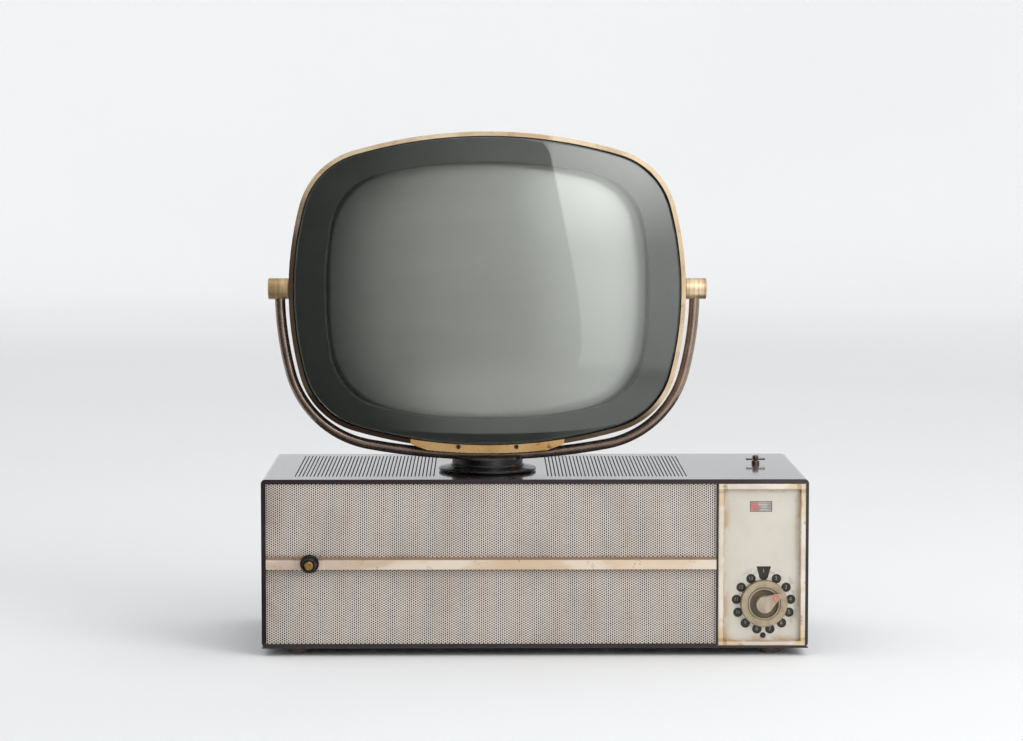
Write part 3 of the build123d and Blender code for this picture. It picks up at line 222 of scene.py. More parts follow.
def bar_gold():
    """Pale gold, whitened in patches, pitted, with painted shade on its top bevel and brown along its bottom
    edge.
    """
    g = Graph("pale_gold")
    color = g.mix(g.ramp(g.noise(24.0, 5.0, (0.3, 1, 1)), 0.35, 0.68), tone("d9c6ae"), tone("cdb294"))
    white = g.ramp(g.noise(38.0, 6.0, (0.35, 1, 1), 4.0), 0.5, 0.62)
    color = g.mix(g.times(white, 0.5), color, tone("dfd5c8"))
    left_end = g.ramp(g.axis(0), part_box("trim_bar")[0].x + 0.12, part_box("trim_bar")[0].x + 0.07)
    color = g.mix(g.times(left_end, 0.7), color, tone("dfcabb"))
    pits = g.spots(330.0, 0.28)
    color = g.mix(g.times(pits, g.ramp(g.noise(30.0, 2.0), 0.6, 0.7), 0.15), color, tone("8a6a50"))
    low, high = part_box("trim_bar")
    # Painted shade: the top bevel is coloured brown, as gold in shadow.
    top = g.ramp(g.axis(2), high.z - 0.0031, high.z - 0.0026)
    color = g.mix(g.times(top, 0.95), color, tone("86684f"))
    under = g.ramp(g.axis(2), low.z + 0.0011, low.z + 0.0004)
    color = g.mix(g.times(under, 0.8), color, tone("8a6a4c"))
    gloss = g.ramp(g.noise(70.0, 4.0), 0.3, 0.7, 0.26, 0.5)
    metal = g.times(g.ramp(white, 0.0, 1.0, 0.4, 0.1), g.ramp(top, 0.0, 1.0, 1.0, 0.2))
    normal = g.bump(g.noise(700.0, 3.0), 0.00003, 1.0, 0.0004)
    return g.surface(Base_Color=color, Metallic=metal, Roughness=gloss, Normal=normal)


def frame_gold():
    """Cream lacquer with the gold showing near the corners and brown along the inner edge."""
    g = Graph("gold_frame")
    low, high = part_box("control_panel_frame")
    near_side = g.plus(
        g.ramp(g.axis(0), low.x + 0.028, low.x + 0.004),
        g.ramp(g.axis(0), high.x - 0.028, high.x - 0.004),
    )
    near_end = g.plus(
        g.ramp(g.axis(2), low.z + 0.05, low.z + 0.01),
        g.ramp(g.axis(2), high.z - 0.05, high.z - 0.01),
    )
    corner = g.times(near_side, near_end)
    cream = g.mix(g.ramp(g.noise(28.0, 6.0, shift=2.0), 0.4, 0.6), tone("ddd4c6"), tone("cfc2b0"))
    bare = g.ramp(g.plus(g.noise(34.0, 5.0, shift=4.0), g.times(corner, 0.22)), 0.56, 0.68)
    color = g.mix(g.times(bare, 0.65), cream, tone("cdb282"))
    rust = g.times(g.ramp(g.noise(75.0, 5.0, shift=9.0), 0.6, 0.7), 0.7)
    color = g.mix(rust, color, tone("8a6542"))

    def edge_line(axis, edge, inward):
        """Line that starts just outside one edge of the frame's opening."""
        return g.times(
            g.ramp(g.axis(axis), edge - 0.0016 * inward, edge - 0.0006 * inward),
            g.ramp(g.axis(axis), edge + 0.004 * inward, edge + 0.003 * inward),
        )

    line = g.plus(
        edge_line(0, low.x + 6.7 * MM, 1), edge_line(2, low.z + 5.2 * MM, 1),
        edge_line(0, high.x - 6.1 * MM, -1), edge_line(2, high.z - 7.0 * MM, -1),
    )
    color = g.mix(g.times(line, g.ramp(g.noise(60.0, 3.0), 0.3, 0.5), 0.45), color, tone("8c6a44"))
    rubbed = g.times(g.edge(0.0009), g.ramp(g.noise(120.0, 4.0), 0.35, 0.6), 0.5)
    color = g.mix(rubbed, color, tone("8d6a48"))
    gloss = g.ramp(g.noise(60.0, 4.0), 0.3, 0.7, 0.28, 0.5)
    metal = g.times(bare, 0.35)
    normal = g.bump(g.plus(g.noise(500.0, 3.0), g.times(rust, 0.8)), 0.00004)
    return g.surface(Base_Color=color, Metallic=metal, Roughness=gloss, Normal=normal)


def cream_panel():
    """Cream panel, stained brown along its edges and smeared grey at the upper right of the dial."""
    g = Graph("cream_panel")
    low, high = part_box("control_panel")
    color = g.mix(g.ramp(g.noise(16.0, 4.0), 0.35, 0.7), tone("cdc7bb"), tone("c4bdb0"))
    near_side = g.plus(
        g.ramp(g.axis(0), low.x + 0.016, low.x + 0.006),
        g.ramp(g.axis(0), high.x - 0.013, high.x - 0.004),
        g.ramp(g.axis(2), high.z - 0.012, high.z - 0.006),
        g.ramp(g.axis(2), low.z + 0.012, low.z + 0.003),
    )
    edge_stain = g.times(near_side, g.ramp(g.noise(42.0, 5.0, shift=5.0), 0.42, 0.62), 0.7)
    color = g.mix(edge_stain, color, tone("b08a56"))
    dial = middle("channel_number_plate")
    side = g.calc("SUBTRACT", g.axis(0), dial.x)
    up = g.calc("SUBTRACT", g.axis(2), dial.z)
    away = g.calc("SQRT", g.plus(g.times(side, side), g.times(up, up)))
    round_dial = g.times(
        g.ramp(away, 0.033, 0.036), g.ramp(away, 0.044, 0.038), g.ramp(g.plus(up, side), -0.03, 0.03)
    )
    smears = g.times(round_dial, g.ramp(g.noise(150.0, 3.0, shift=8.0), 0.42, 0.62), 0.35)
    color = g.mix(smears, color, tone("6a665f"))
    specks = g.times(g.spots(240.0, 0.13), g.ramp(g.noise(35.0, 2.0, shift=1.0), 0.5, 0.6), 0.6)
    color = g.mix(specks, color, tone("7d6a55"))
    gloss = g.ramp(g.noise(45.0, 3.0), 0.3, 0.7, 0.3, 0.46)
    normal = g.bump(g.noise(900.0, 2.0), 0.00002)
    return g.surface(Base_Color=color, Roughness=gloss, Normal=normal, Coat_Weight=0.15, Coat_Roughness=0.2)


def lamp_lens():
    """Banded grey lens, red in its left part, in a brown rim of painted recess shade."""
    g = Graph("lamp_lens")
    low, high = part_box("indicator_window")
    width = high.x - low.x
    across = g.axis(0)
    color = g.mix(g.ramp(g.noise(90.0, 3.0), 0.4, 0.6), tone("b0ada6"), tone("8f8b86"))
    red = g.ramp(across, low.x + width * 0.42, low.x + width * 0.36)
    bands = g.ramp(g.calc("SINE", g.times(g.axis(2), 2100.0)), -0.4, 0.6)
    color = g.mix(g.times(bands, 0.5), color, tone("5e5a58"))
    color = g.mix(g.times(red, 0.75), color, tone("bd5850"))
    dark = g.times(g.spots(260.0, 0.4), g.ramp(g.noise(80.0, 2.0), 0.45, 0.55), 0.7)
    color = g.mix(dark, color, tone("4a3430"))
    # Painted shade of the recess round the lens, as a brown rim.
    rim = g.plus(
        g.ramp(across, low.x + 0.0016, low.x + 0.0008),
        g.ramp(across, high.x - 0.0016, high.x - 0.0008),
        g.ramp(g.axis(2), low.z + 0.0016, low.z + 0.0008),
        g.ramp(g.axis(2), high.z - 0.0016, high.z - 0.0008),
    )
    color = g.mix(rim, color, tone("6f6055"))
    gloss = g.ramp(dark, 0, 1, 0.12, 0.3)
    normal = g.bump(g.noise(300.0, 2.0), 0.00003)
    return g.surface(Base_Color=color, Roughness=gloss, Normal=normal, Coat_Weight=0.6)


def clear_window():
    """Clear sheet that reflects as glass does, with a little dust."""
    g = Graph("clear_window")
    dust = g.plus(g.times(g.spots(75.0, 0.05), g.ramp(g.noise(9.0, 2.0), 0.45, 0.65), 0.25), 0.003)
    gloss = g.ramp(g.noise(6.0, 2.0), 0.3, 0.7, 0.012, 0.02)
    clear = g.node("ShaderNodeBsdfTransparent", Color=(0.93, 0.94, 0.93, 1.0)).outputs[0]
    shine = g.node("ShaderNodeBsdfGlossy", Color=(1, 1, 1, 1), Roughness=gloss).outputs[0]
    haze = g.node("ShaderNodeBsdfDiffuse", Color=(0.6, 0.6, 0.6, 1)).outputs[0]
    # The light isn't bent inside, so the back faces need the same ratio as the front ones.
    behind = g.node("ShaderNodeNewGeometry").outputs["Backfacing"]
    ratio = g.plus(GLASS_IOR, g.times(behind, 1 / GLASS_IOR - GLASS_IOR))
    fresnel = g.node("ShaderNodeFresnel", IOR=ratio).outputs[0]
    glass = g.node("ShaderNodeMixShader", Fac=fresnel)
    g.tree.links.new(clear, glass.inputs[1])
    g.tree.links.new(shine, glass.inputs[2])
    dusty = g.node("ShaderNodeMixShader", Fac=dust)
    g.tree.links.new(glass.outputs[0], dusty.inputs[1])
    g.tree.links.new(haze, dusty.inputs[2])
    return g.output(dusty.outputs[0])


def mask_grey():
    """Dark grey-green with fine pale specks."""
    g = Graph("mask_grey")
    color = g.mix(g.ramp(g.noise(12.0, 3.0), 0.35, 0.65), tone("282b28"), tone("2e312e"))
    specks = g.times(g.spots(420.0, 0.12), 0.5)
    color = g.mix(specks, color, tone("63665f"))
    gloss = g.ramp(g.noise(30.0, 3.0), 0.3, 0.7, 0.42, 0.55)
    return g.surface(Base_Color=color, Roughness=gloss)


def tube_glass():
    """Grey-green screen under a faintly soft polish, with painted light towards the right, painted shade on
    the left and a painted shadow of the mask round its edge.
    """
    g = Graph("tube_glass")
    heart = middle("front_window")
    half_w, half_h = OPENING[0] * MM, OPENING[1] * MM
    across = g.calc("DIVIDE", g.calc("SUBTRACT", g.axis(0), heart.x), half_w)
    up = g.calc("DIVIDE", g.calc("SUBTRACT", g.axis(2), heart.z), half_h)
    power = 3.4
    reach = g.calc(
        "POWER",
        g.plus(
            g.calc("POWER", g.calc("ABSOLUTE", across), power),
            g.calc("POWER", g.calc("ABSOLUTE", up), power),
        ),
        1 / power,
    )
    color = g.mix(g.ramp(g.noise(7.0, 3.0), 0.3, 0.7), tone("8a8a85"), tone("90908b"))
    lines = g.ramp(g.noise(60.0, 2.0, (0.1, 1, 1), 2.0), 0.3, 0.7)
    color = g.mix(g.times(lines, 0.12), color, tone("70726c"))
    # Painted light: lighter towards the right, where the key light falls.
    color = g.mix(g.times(g.ramp(across, 0.1, 0.9), 0.5), color, tone("d3d3d1"))
    # Painted shade: darker towards the left.
    left = g.ramp(across, -0.2, -1.0)
    color = g.mix(g.times(left, 0.35), color, tone("2c2e2b"))
    # Painted shadow of the mask's lip round the edge of the screen, wider on the left.
    rim = g.plus(g.times(g.ramp(reach, 0.965, 1.0), 0.8), g.times(g.ramp(reach, 0.6, 1.0), left, 0.55))
    color = g.mix(rim, color, tone("2c2e2b"))
    specks = g.times(g.ramp(g.noise(260.0, 2.0), 0.72, 0.77), 0.3)
    color = g.mix(specks, color, tone("5f625c"))
    gloss = g.ramp(g.noise(18.0, 3.0), 0.3, 0.7, 0.42, 0.5)
    return g.surface(
        Base_Color=color, Roughness=gloss, Normal=g.bump(g.noise(900.0, 2.0), 0.0000002),
        Coat_Weight=1.0, Coat_Roughness=0.23, Coat_IOR=1.75,
    )


def ring_brass():
    """Lacquered brass: pale at the top and right, brown at the left, lower left and bottom with tarnish and
    painted shade.
    """
    g = Graph("brass")
    heart = middle("front_window")
    across = g.calc("SUBTRACT", g.axis(0), heart.x)
    up = g.calc("SUBTRACT", g.axis(2), heart.z)
    color = g.mix(g.ramp(g.noise(18.0, 5.0), 0.35, 0.68), tone("ecd8b8"), tone("cfb089"))
    # Tarnish and painted shade: brown down the left, lower left and bottom of the ring, not on the housings.
    side = g.plus(g.times(across, -1.0), g.times(up, -0.75), g.times(g.noise(26.0, 5.0, shift=3.0), 0.09))
    housing = g.ramp(g.calc("ABSOLUTE", across), HOUSING_IN - 0.0004, HOUSING_IN - 0.0001)
    tarnish_and_shade = g.times(g.ramp(side, 0.12, 0.25), g.calc("SUBTRACT", 1.0, housing))
    tarnish_and_shade = g.plus(tarnish_and_shade, g.times(g.ramp(up, -0.115, -0.15), g.calc("SUBTRACT", 1.0, housing)))
    bands = g.times(housing, g.ramp(g.noise(260.0, 2.0, (1, 0.05, 0.05)), 0.35, 0.6), 0.7)
    color = g.mix(bands, color, tone("94794f"))
    color = g.mix(g.times(tarnish_and_shade, 0.92), color, tone("39281c"))
    right = g.ramp(across, 0.15, 0.22)
    color = g.mix(g.times(right, g.calc("SUBTRACT", 1.0, housing), 0.3), color, tone("a08468"))
    pits = g.times(g.spots(420.0, 0.25), g.ramp(g.noise(40.0, 2.0), 0.5, 0.6), 0.6)
    color = g.mix(pits, color, tone("33241a"))
    gloss = g.ramp(g.noise(60.0, 4.0), 0.3, 0.7, 0.24, 0.42)
    normal = g.bump(g.plus(g.noise(600.0, 3.0), g.times(tarnish_and_shade, 0.4)), 0.00002)
    return g.surface(Base_Color=color, Metallic=0.75, Roughness=gloss, Normal=normal)


def clip_gold():
    """Bright gold with rust towards the right end."""
    g = Graph("clip_gold")
    low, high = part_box("window_clip")
    color = g.mix(g.ramp(g.noise(30.0, 4.0), 0.35, 0.68), tone("dcb57d"), tone("cda066"))
    right_end = g.ramp(g.axis(0), high.x - 0.05, high.x - 0.005, 0.05, 0.9)
    rust = g.times(g.ramp(g.noise(110.0, 4.0, shift=6.0), 0.54, 0.66), right_end)
    color = g.mix(rust, color, tone("6a4a2c"))
    gloss = g.ramp(g.noise(60.0, 4.0), 0.3, 0.7, 0.2, 0.4)
    normal = g.bump(g.plus(g.noise(600.0, 3.0), g.times(rust, -1.0)), 0.00005)
    return g.surface(Base_Color=color, Metallic=0.85, Roughness=gloss, Normal=normal)


def dial_plastic():
    """Tan moulding: painted shade in the hollow and down its walls, paler and streaked on the pointer."""
    g = Graph("tan_plastic")
    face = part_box("fine_tuning_ring")[0].y
    depth = g.axis(1)
    color = g.mix(g.ramp(g.noise(110.0, 5.0), 0.35, 0.68), tone("ab9c80"), tone("93836a"))
    boss = g.ramp(depth, face - 0.003, face - 0.005)
    streaks = g.ramp(g.noise(90.0, 4.0, (1, 1, 0.35), 5.0), 0.35, 0.65)
    color = g.mix(boss, color, g.mix(streaks, tone("b3a391"), tone("9a8a76")))
    # Painted shade: the hollow round the boss is coloured dark brown.
    hollow_shade = g.ramp(depth, face + 0.0008, face + 0.0026)
    color = g.mix(g.times(hollow_shade, 0.9), color, tone("524530"))
    # Painted shade down the walls of the hollow.
    side = g.times(
        g.ramp(depth, face - 0.0002, face + 0.0008),
        g.ramp(depth, face + 0.0026, face + 0.0012),
        0.5,
    )
    color = g.mix(side, color, tone("7b6b52"))
    rubbed = g.times(g.edge(0.0007), g.ramp(g.noise(150.0, 4.0), 0.35, 0.6), 0.5)
    color = g.mix(rubbed, color, tone("c9bca2"))
    gloss = g.ramp(g.noise(90.0, 4.0), 0.3, 0.7, 0.32, 0.46)
    return g.surface(Base_Color=color, Roughness=gloss, Normal=g.bump(g.noise(600.0, 3.0), 0.00001))


def hardboard():
    """Brown fibre board, black where it stands behind the grille."""
    g = Graph("hardboard")
    fibre = g.noise(260.0, 5.0, (0.35, 1, 1))
    color = g.mix(g.ramp(fibre, 0.35, 0.68), tone("3f2e24"), tone("54402f"))
    flecks = g.times(g.ramp(g.noise(900.0, 3.0, (0.3, 1, 1), 4.0), 0.58, 0.7), 0.6)
    color = g.mix(flecks, color, tone("2f2118"))
    baffle_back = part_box("front_baffle")[1].y
    color = g.mix(g.ramp(g.axis(1), baffle_back + 0.02, baffle_back + 0.01), color, tone("0b0909"))
    height = g.plus(fibre, g.times(g.noise(1100.0, 3.0), 0.6))
    gloss = g.ramp(g.noise(40.0, 3.0), 0.3, 0.7, 0.6, 0.8)
    return g.surface(Base_Color=color, Roughness=gloss, Normal=g.bump(height, 0.0001))


def glass_valve():
    """Dark glass with silvered patches."""
    g = Graph("valve_glass")
    silver = g.ramp(g.noise(40.0, 2.0), 0.4, 0.6)
    color = g.mix(silver, tone("39424a"), tone("707a80"))
    gloss = g.ramp(g.noise(70.0, 3.0), 0.3, 0.7, 0.05, 0.16)
    normal = g.bump(g.noise(200.0, 2.0), 0.00002)
    return g.surface(Base_Color=color, Roughness=gloss, Normal=normal, Coat_Weight=0.5)


materials = {
    "grille_paint": grille_paint(),
    "pale_gold": bar_gold(),
    "gold_frame": frame_gold(),
    "cream_panel": cream_panel(),
    "lamp_lens": lamp_lens(),
    "clear_window": clear_window(),
    "mask_grey": mask_grey(),
    "tube_glass": tube_glass(),
    "brass": ring_brass(),
    "clip_gold": clip_gold(),
    "tan_plastic": dial_plastic(),
    "hardboard": hardboard(),
    "valve_glass": glass_valve(),
}
# name: base, second tone, roughness, metallic, then anything that differs from the usual
PLAIN = {
    "cabinet_paint": (
        "1f1518", "281c1f", 0.42, 0.0,
        dict(
            patch=30, grain=1400, depth=0.0000002, wear="6c4e3e", wear_share=0.35, rounding=0.0006,
            rough_spread=0.05, Specular_IOR_Level=0.2, Coat_Weight=1.0, Coat_Roughness=0.09, Coat_IOR=1.36,
        ),
    ),
    "foot_rubber": ("6f5a52", "57463f", 0.7, 0.0, dict(grain=1200, depth=0.00006)),
    "steel_screw": ("6a625a", "8d8478", 0.4, 0.9, dict(patch=200)),
    "black_paint": ("070606", "0d0b0b", 0.3, 0.0, dict(grain=1500, depth=0.00001)),
    "number_plate": ("17140f", "221d17", 0.4, 0.0, dict(patch=120)),
    "plated_steel": ("a9a79b", "8c8a80", 0.36, 0.9, dict(patch=40)),
    "transformer_black": ("1b1a1a", "262424", 0.45, 0.0, dict(patch=60, wear="57504a")),
    "phenolic": ("3a2414", "4d3220", 0.45, 0.0, dict(patch=80)),
    "brass_plain": ("c39a58", "a27c44", 0.3, 0.9, dict(patch=120)),
    "paper_cone": ("2c2724", "38322e", 0.85, 0.0, dict(grain=700, depth=0.0001)),
    "magnet_steel": ("75716a", "5e5a55", 0.45, 0.8, dict(patch=60)),
    "antenna_metal": ("6e5c54", "4a3d38", 0.26, 0.85, dict(patch=180)),
    "volume_black": ("040404", "090808", 0.3, 0.0, dict(patch=140, depth=0.00001, Specular_IOR_Level=0.25)),
    "knob_plastic": ("cbbda5", "b9a98c", 0.34, 0.0, dict(patch=120, grain=500, wear="ded2ba")),
    "yoke_bronze": (
        "988477", "827166", 0.25, 0.85,
        dict(patch=60, grain=1500, depth=0.000003, wear="927a6a", wear_share=0.3),
    ),
    "copper_winding": ("8c4f2c", "6f3c20", 0.4, 0.7, dict(grain=1600, depth=0.0001)),
    "digit_paint": ("8f8a78", "a19b88", 0.5, 0.0, dict(patch=300)),
    "red_paint": ("c8554a", "d86f60", 0.4, 0.0, dict(patch=300)),
    "shell_brown": ("352a28", "3d312e", 0.4, 0.0, dict(patch=24, grain=1100, depth=0.00001)),
}
for name, (base, second, rough, metallic, extra) in PLAIN.items():
    materials[name] = finish_material(name, base, second, rough, metallic, **extra)

for entry in frame["record"]["subparts"]:
    part = nodes[entry["node"]]
    part.data.materials.clear()
    part.data.materials.append(materials[entry["material_slot"]])


# ---- camera -------------------------------------------------------------------------
camera_data = bpy.data.cameras.new("camera")
CAMERA_FALL = 4.575          # how far the camera looks down, in degrees
CAMERA_TURN = -0.49
camera_data.lens = 109.16
camera_data.sensor_width = 36.0
camera_data.clip_end = 100.0
camera = bpy.data.objects.new("camera", camera_data)
camera.location = (-0.0567, -3.63825, 0.6062)
camera.rotation_euler = (math.radians(90 - CAMERA_FALL), 0, math.radians(CAMERA_TURN))
bpy.context.scene.collection.objects.link(camera)
bpy.context.scene.camera = camera
bpy.context.scene.view_settings.view_transform = "Standard"


# ---- pieces that stand for CAD nodes -------------------------------------------------
def new_mesh(name, points, faces, smooth=False):
    data = bpy.data.meshes.new(name)
    data.from_pydata(points, [], faces)
    data.update()
    if smooth:
        data.shade_smooth()
    made = bpy.data.objects.new(name, data)
    bpy.context.scene.collection.objects.link(made)
    return made


HOLE_PITCH = 2.78 * MM      # up and down
COLUMN_PITCH = 2.41 * MM
HOLE_R = 1.0 * MM
HOLE_SIDES = 8


def pierced_sheet(name, left, columns, first, rows, low, high, side_low, side_high):
    """Punched sheet: columns of round holes, every second column half a pitch higher.

    The holes start at left and first; the sheet reaches from side_low to side_high and from low to high."""
    box_low, box_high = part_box("speaker_grille")
    near, far = box_low.y, box_high.y
    points = []
    faces = []
    index = {}

    def corner(column, half_row, y):
        key = (column, half_row, y)
        if key not in index:
            index[key] = len(points)
            points.append((left + column * COLUMN_PITCH, y, first + half_row * HOLE_PITCH / 2))
        return index[key]

    ring = [math.radians(22.5 + 360 / HOLE_SIDES * k) for k in range(HOLE_SIDES)]
    # Each cell is an outline of six corners round one hole; both are counted anticlockwise.
    steps = ((2, 1), (2, 2), (0, 2), (0, 1), (0, 0), (2, 0))
    for column in range(columns):
        shift = column % 2
        for row in range(rows - shift):
            base = 2 * row + shift
            x = left + (column + 0.5) * COLUMN_PITCH
            z = first + (base + 1) * HOLE_PITCH / 2
            rims = []
            for y in (near, far):
                rims.append(len(points))
                points.extend((x + HOLE_R * math.cos(a), y, z + HOLE_R * math.sin(a)) for a in ring)
            outline = [(column + dx // 2, base + dz) for dx, dz in steps]
            for y, rim, flip in ((near, rims[0], False), (far, rims[1], True)):
                around = [corner(c, r, y) for c, r in outline]
                shapes = [
                    (around[0], around[1], rim + 1, rim + 0),
                    (around[1], around[2], rim + 2, rim + 1),
                    (around[2], rim + 3, rim + 2),
                    (around[2], around[3], rim + 4, rim + 3),
                    (around[3], around[4], rim + 5, rim + 4),
                    (around[4], around[5], rim + 6, rim + 5),
                    (around[5], rim + 7, rim + 6),
                    (around[5], around[0], rim + 0, rim + 7),
                ]
                faces.extend(s[::-1] if flip else s for s in shapes)
            for k in range(HOLE_SIDES):
                after = (k + 1) % HOLE_SIDES
                faces.append((rims[0] + k, rims[0] + after, rims[1] + after, rims[1] + k))
        if shift:
            for half_row in (0, 2 * rows - 1):
                for y, flip in ((near, False), (far, True)):
                    quad = [
                        corner(column, half_row, y), corner(column + 1, half_row, y),
                        corner(column + 1, half_row + 1, y), corner(column, half_row + 1, y),
                    ]
                    faces.append(tuple(quad if not flip else quad[::-1]))
    top_row = 2 * rows
    # The plain margin: the outer box's corners and the perforated field's edge, as one outline per side.
    outer = {}
    for y in (near, far):
        outer[y] = len(points)
        points.extend([(side_low, y, low), (side_high, y, low), (side_high, y, high), (side_low, y, high)])
    for y, flip in ((near, False), (far, True)):
        o = outer[y]
        sides = [
            [corner(c, 0, y) for c in range(columns, -1, -1)] + [o, o + 1],
            [corner(columns, r, y) for r in range(top_row, -1, -1)] + [o + 1, o + 2],
            [corner(c, top_row, y) for c in range(columns + 1)] + [o + 2, o + 3],
            [corner(0, r, y) for r in range(top_row + 1)] + [o + 3, o],
        ]
        faces.extend(tuple(s[::-1] if flip else s) for s in sides)
    a, b = outer[near], outer[far]
    for k in range(4):
        after = (k + 1) % 4
        faces.append((a + k, b + k, b + after, a + after))
    sheet = new_mesh(name, points, faces)
    sheet.data.materials.append(materials["grille_paint"])
    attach(sheet, "cabinet")
    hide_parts("speaker_grille")
    return sheet


def build_grille():
    """The loudspeaker cloth's metal screen, above and below the bar, each in a left and a right half."""
    low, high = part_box("speaker_grille")
    columns = 106
    rows = 31
    field_left = high.x - 0.7 * MM - 2 * columns * COLUMN_PITCH
    split = field_left + columns * COLUMN_PITCH
    bar_low, bar_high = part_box("trim_bar")
    for level, first, z_low, z_high in (
        ("lower", bar_low.z + 0.6 * MM - rows * HOLE_PITCH, low.z, bar_low.z + 1.6 * MM),
        ("upper", bar_high.z - 0.6 * MM, bar_high.z - 1.6 * MM, high.z),
    ):
        pierced_sheet(f"grille_{level}_left", field_left, columns, first, rows, z_low, z_high, low.x, split)
        pierced_sheet(f"grille_{level}_right", split, columns, first, rows, z_low, z_high, split, high.x)


def build_numerals():
    """Channel numbers on the plate behind the panel's windows."""
    centre = middle("channel_number_plate")
    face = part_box("channel_number_plate")[0].y
    count = 13
    for number in range(1, count + 1):
        angle = math.radians(90 - (number - 1) * 360 / count)
        reach = (36.4 if number == 1 else 31.1) * MM
        text = bpy.data.curves.new(f"digits_{number}", "FONT")
        text.body = str(number)
        text.size = 6.2 * MM if number < 10 else 5.2 * MM
        text.align_x = "CENTER"
        text.align_y = "CENTER"
        text.extrude = 0.12 * MM
        text.resolution_u = 6
        source = bpy.data.objects.new(f"digits_{number}", text)
        data = bpy.data.meshes.new_from_object(source)
        bpy.data.objects.remove(source)
        digits = bpy.data.objects.new(f"channel_digits_{number}", data)
        bpy.context.scene.collection.objects.link(digits)
        digits.rotation_euler = (math.pi / 2, 0, 0)
        digits.location = (centre.x + reach * math.cos(angle), face, centre.z + reach * math.sin(angle))
        digits.data.materials.clear()
        digits.data.materials.append(materials["digit_paint"])
        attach(digits, "cabinet")


def build_pointer_mark():
    """Outlined red triangle set into the pointer of the channel knob."""
    centre = middle("channel_number_plate")
    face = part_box("channel_knob")[0].y
    direction = Vector((math.sin(math.radians(58)), 0, math.cos(math.radians(58))))
    across = Vector((-direction.z, 0, direction.x))
    outer = [(20.2, 0.3), (12.0, 4.6), (11.6, -4.4)]
    inner = [(17.4, 0.2), (13.1, 2.6), (12.8, -2.5)]
    points = []
    for y in (face - 0.12 * MM, face + 0.1 * MM):
        for along, aside in outer + inner:
            spot = direction * along * MM + across * aside * MM
            points.append((centre.x + spot.x, y, centre.z + spot.z))
    faces = []
    for k in range(3):
        after = (k + 1) % 3
        faces += [
            (k, after, 3 + after, 3 + k), (6 + after, 6 + k, 9 + k, 9 + after),
            (after, k, 6 + k, 6 + after), (3 + k, 3 + after, 9 + after, 9 + k),
        ]
    mark = new_mesh("pointer_mark", points, faces)
    mark.data.materials.append(materials["red_paint"])
    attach(mark, "channel_selector")


# Offsets and curvatures of the window and the mask; insets and rim sizes are in mm.
WINDOW_INSET = 6.5
MASK_INSET = 5.8
WINDOW_R_ACROSS = 1180.0 * MM
WINDOW_R_UP = 765.0 * MM
TUBE_R = 690.0 * MM
WINDOW_T = 3.0 * MM
MASK_OFFSET = 4.0 * MM      # the mask's face behind the window's
MASK_T = 2.0 * MM
MASK_CLEARANCE = 0.5 * MM   # between the mask's lip and the tube
ROLL_R = 2.2                # width of the window's rounded rim, in mm
ROLL_DEPTH = 0.5            # how deep that rim falls back, as a share of its width
ROLL_STEPS = 7
LIP_R = 1.2                 # rounding of the mask's inner edge, in mm


def outline(size, inset=0.0, steps=14):
    """Points round a screen-shaped outline, anticlockwise from the right; each arc has as many points."""
    half_w, half_h, r_top, r_side, r_corner = [value - inset for value in size]
    top = Vector((0, half_h - r_top))
    side = Vector((half_w - r_side, 0))
    reach_top = r_top - r_corner
    reach_side = r_side - r_corner
    span = side - top
    along = (reach_top**2 - reach_side**2 + span.length**2) / (2 * span.length)
    unit = span.normalized()
    out = math.sqrt(reach_top**2 - along**2)
    centre = top + unit * along + Vector((unit.y, -unit.x)) * out
    to_side = centre - side
    to_top = centre - top
    side_turn = math.atan2(to_side.y, to_side.x)
    top_turn = math.atan2(to_top.y, to_top.x)
    quarter = []
    for hub, radius, first, last in (
        (side, r_side, 0.0, side_turn),
        (centre, r_corner, side_turn, top_turn),
        (top, r_top, top_turn, math.pi / 2),
    ):
        for step in range(steps):
            turn = first + (last - first) * step / steps
            quarter.append((hub.x + radius * math.cos(turn), hub.y + radius * math.sin(turn)))
    quarter.append((0.0, half_h))
    points = list(quarter)
    points += [(-x, y) for x, y in quarter[-2::-1]]
    points += [(-x, -y) for x, y in quarter[1:]]
    points += [(x, -y) for x, y in quarter[-2:0:-1]]
    return [(x * MM, y * MM) for x, y in points]


def between(first, last, share):
    """Outline part of the way from one outline's sizes to another's."""
    return tuple(a + (b - a) * share for a, b in zip(first, last))


def roll(reach, radius):
    """How far a rounded rim falls back at a distance from its edge, in metres."""
    inner = max(radius - reach, 0.0)
    return (radius - math.sqrt(radius**2 - inner**2)) * MM


def head_shell(name, node, slot, rings, capped=False):
    """Closed skin through rings of (outline, depth function), given outwards over the front, then inwards."""
    low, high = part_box("front_window")
    heart = ((low.x + high.x) / 2, low.y, (low.z + high.z) / 2)
    count = len(rings[0][0])
    points = []
    for line, fall in rings:
        points += [(heart[0] + x, heart[1] + fall(x, z), heart[2] + z) for x, z in line]
    pairs = [(ring * count, (ring + 1) * count) for ring in range(len(rings) - 1)]
    if not capped:
        pairs.append(((len(rings) - 1) * count, 0))
    faces = []
    for a, b in pairs:
        for k in range(count):
            after = (k + 1) % count
            faces.append((b + k, b + after, a + after, a + k))
    if capped:
        faces.append(tuple(range(count)))
        faces.append(tuple(range(len(points) - count, len(points)))[::-1])
    piece = new_mesh(name, points, faces, smooth=True)
    piece.data.materials.append(materials[slot])
    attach(piece, "head")
    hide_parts(node)
    return piece


def dome(x, z):
    """Fall of the doubly curved window behind its foremost point."""
    up = WINDOW_R_UP - math.sqrt(WINDOW_R_UP**2 - z**2)
    radius = WINDOW_R_ACROSS - up
    return WINDOW_R_ACROSS - math.sqrt(radius**2 - x**2)


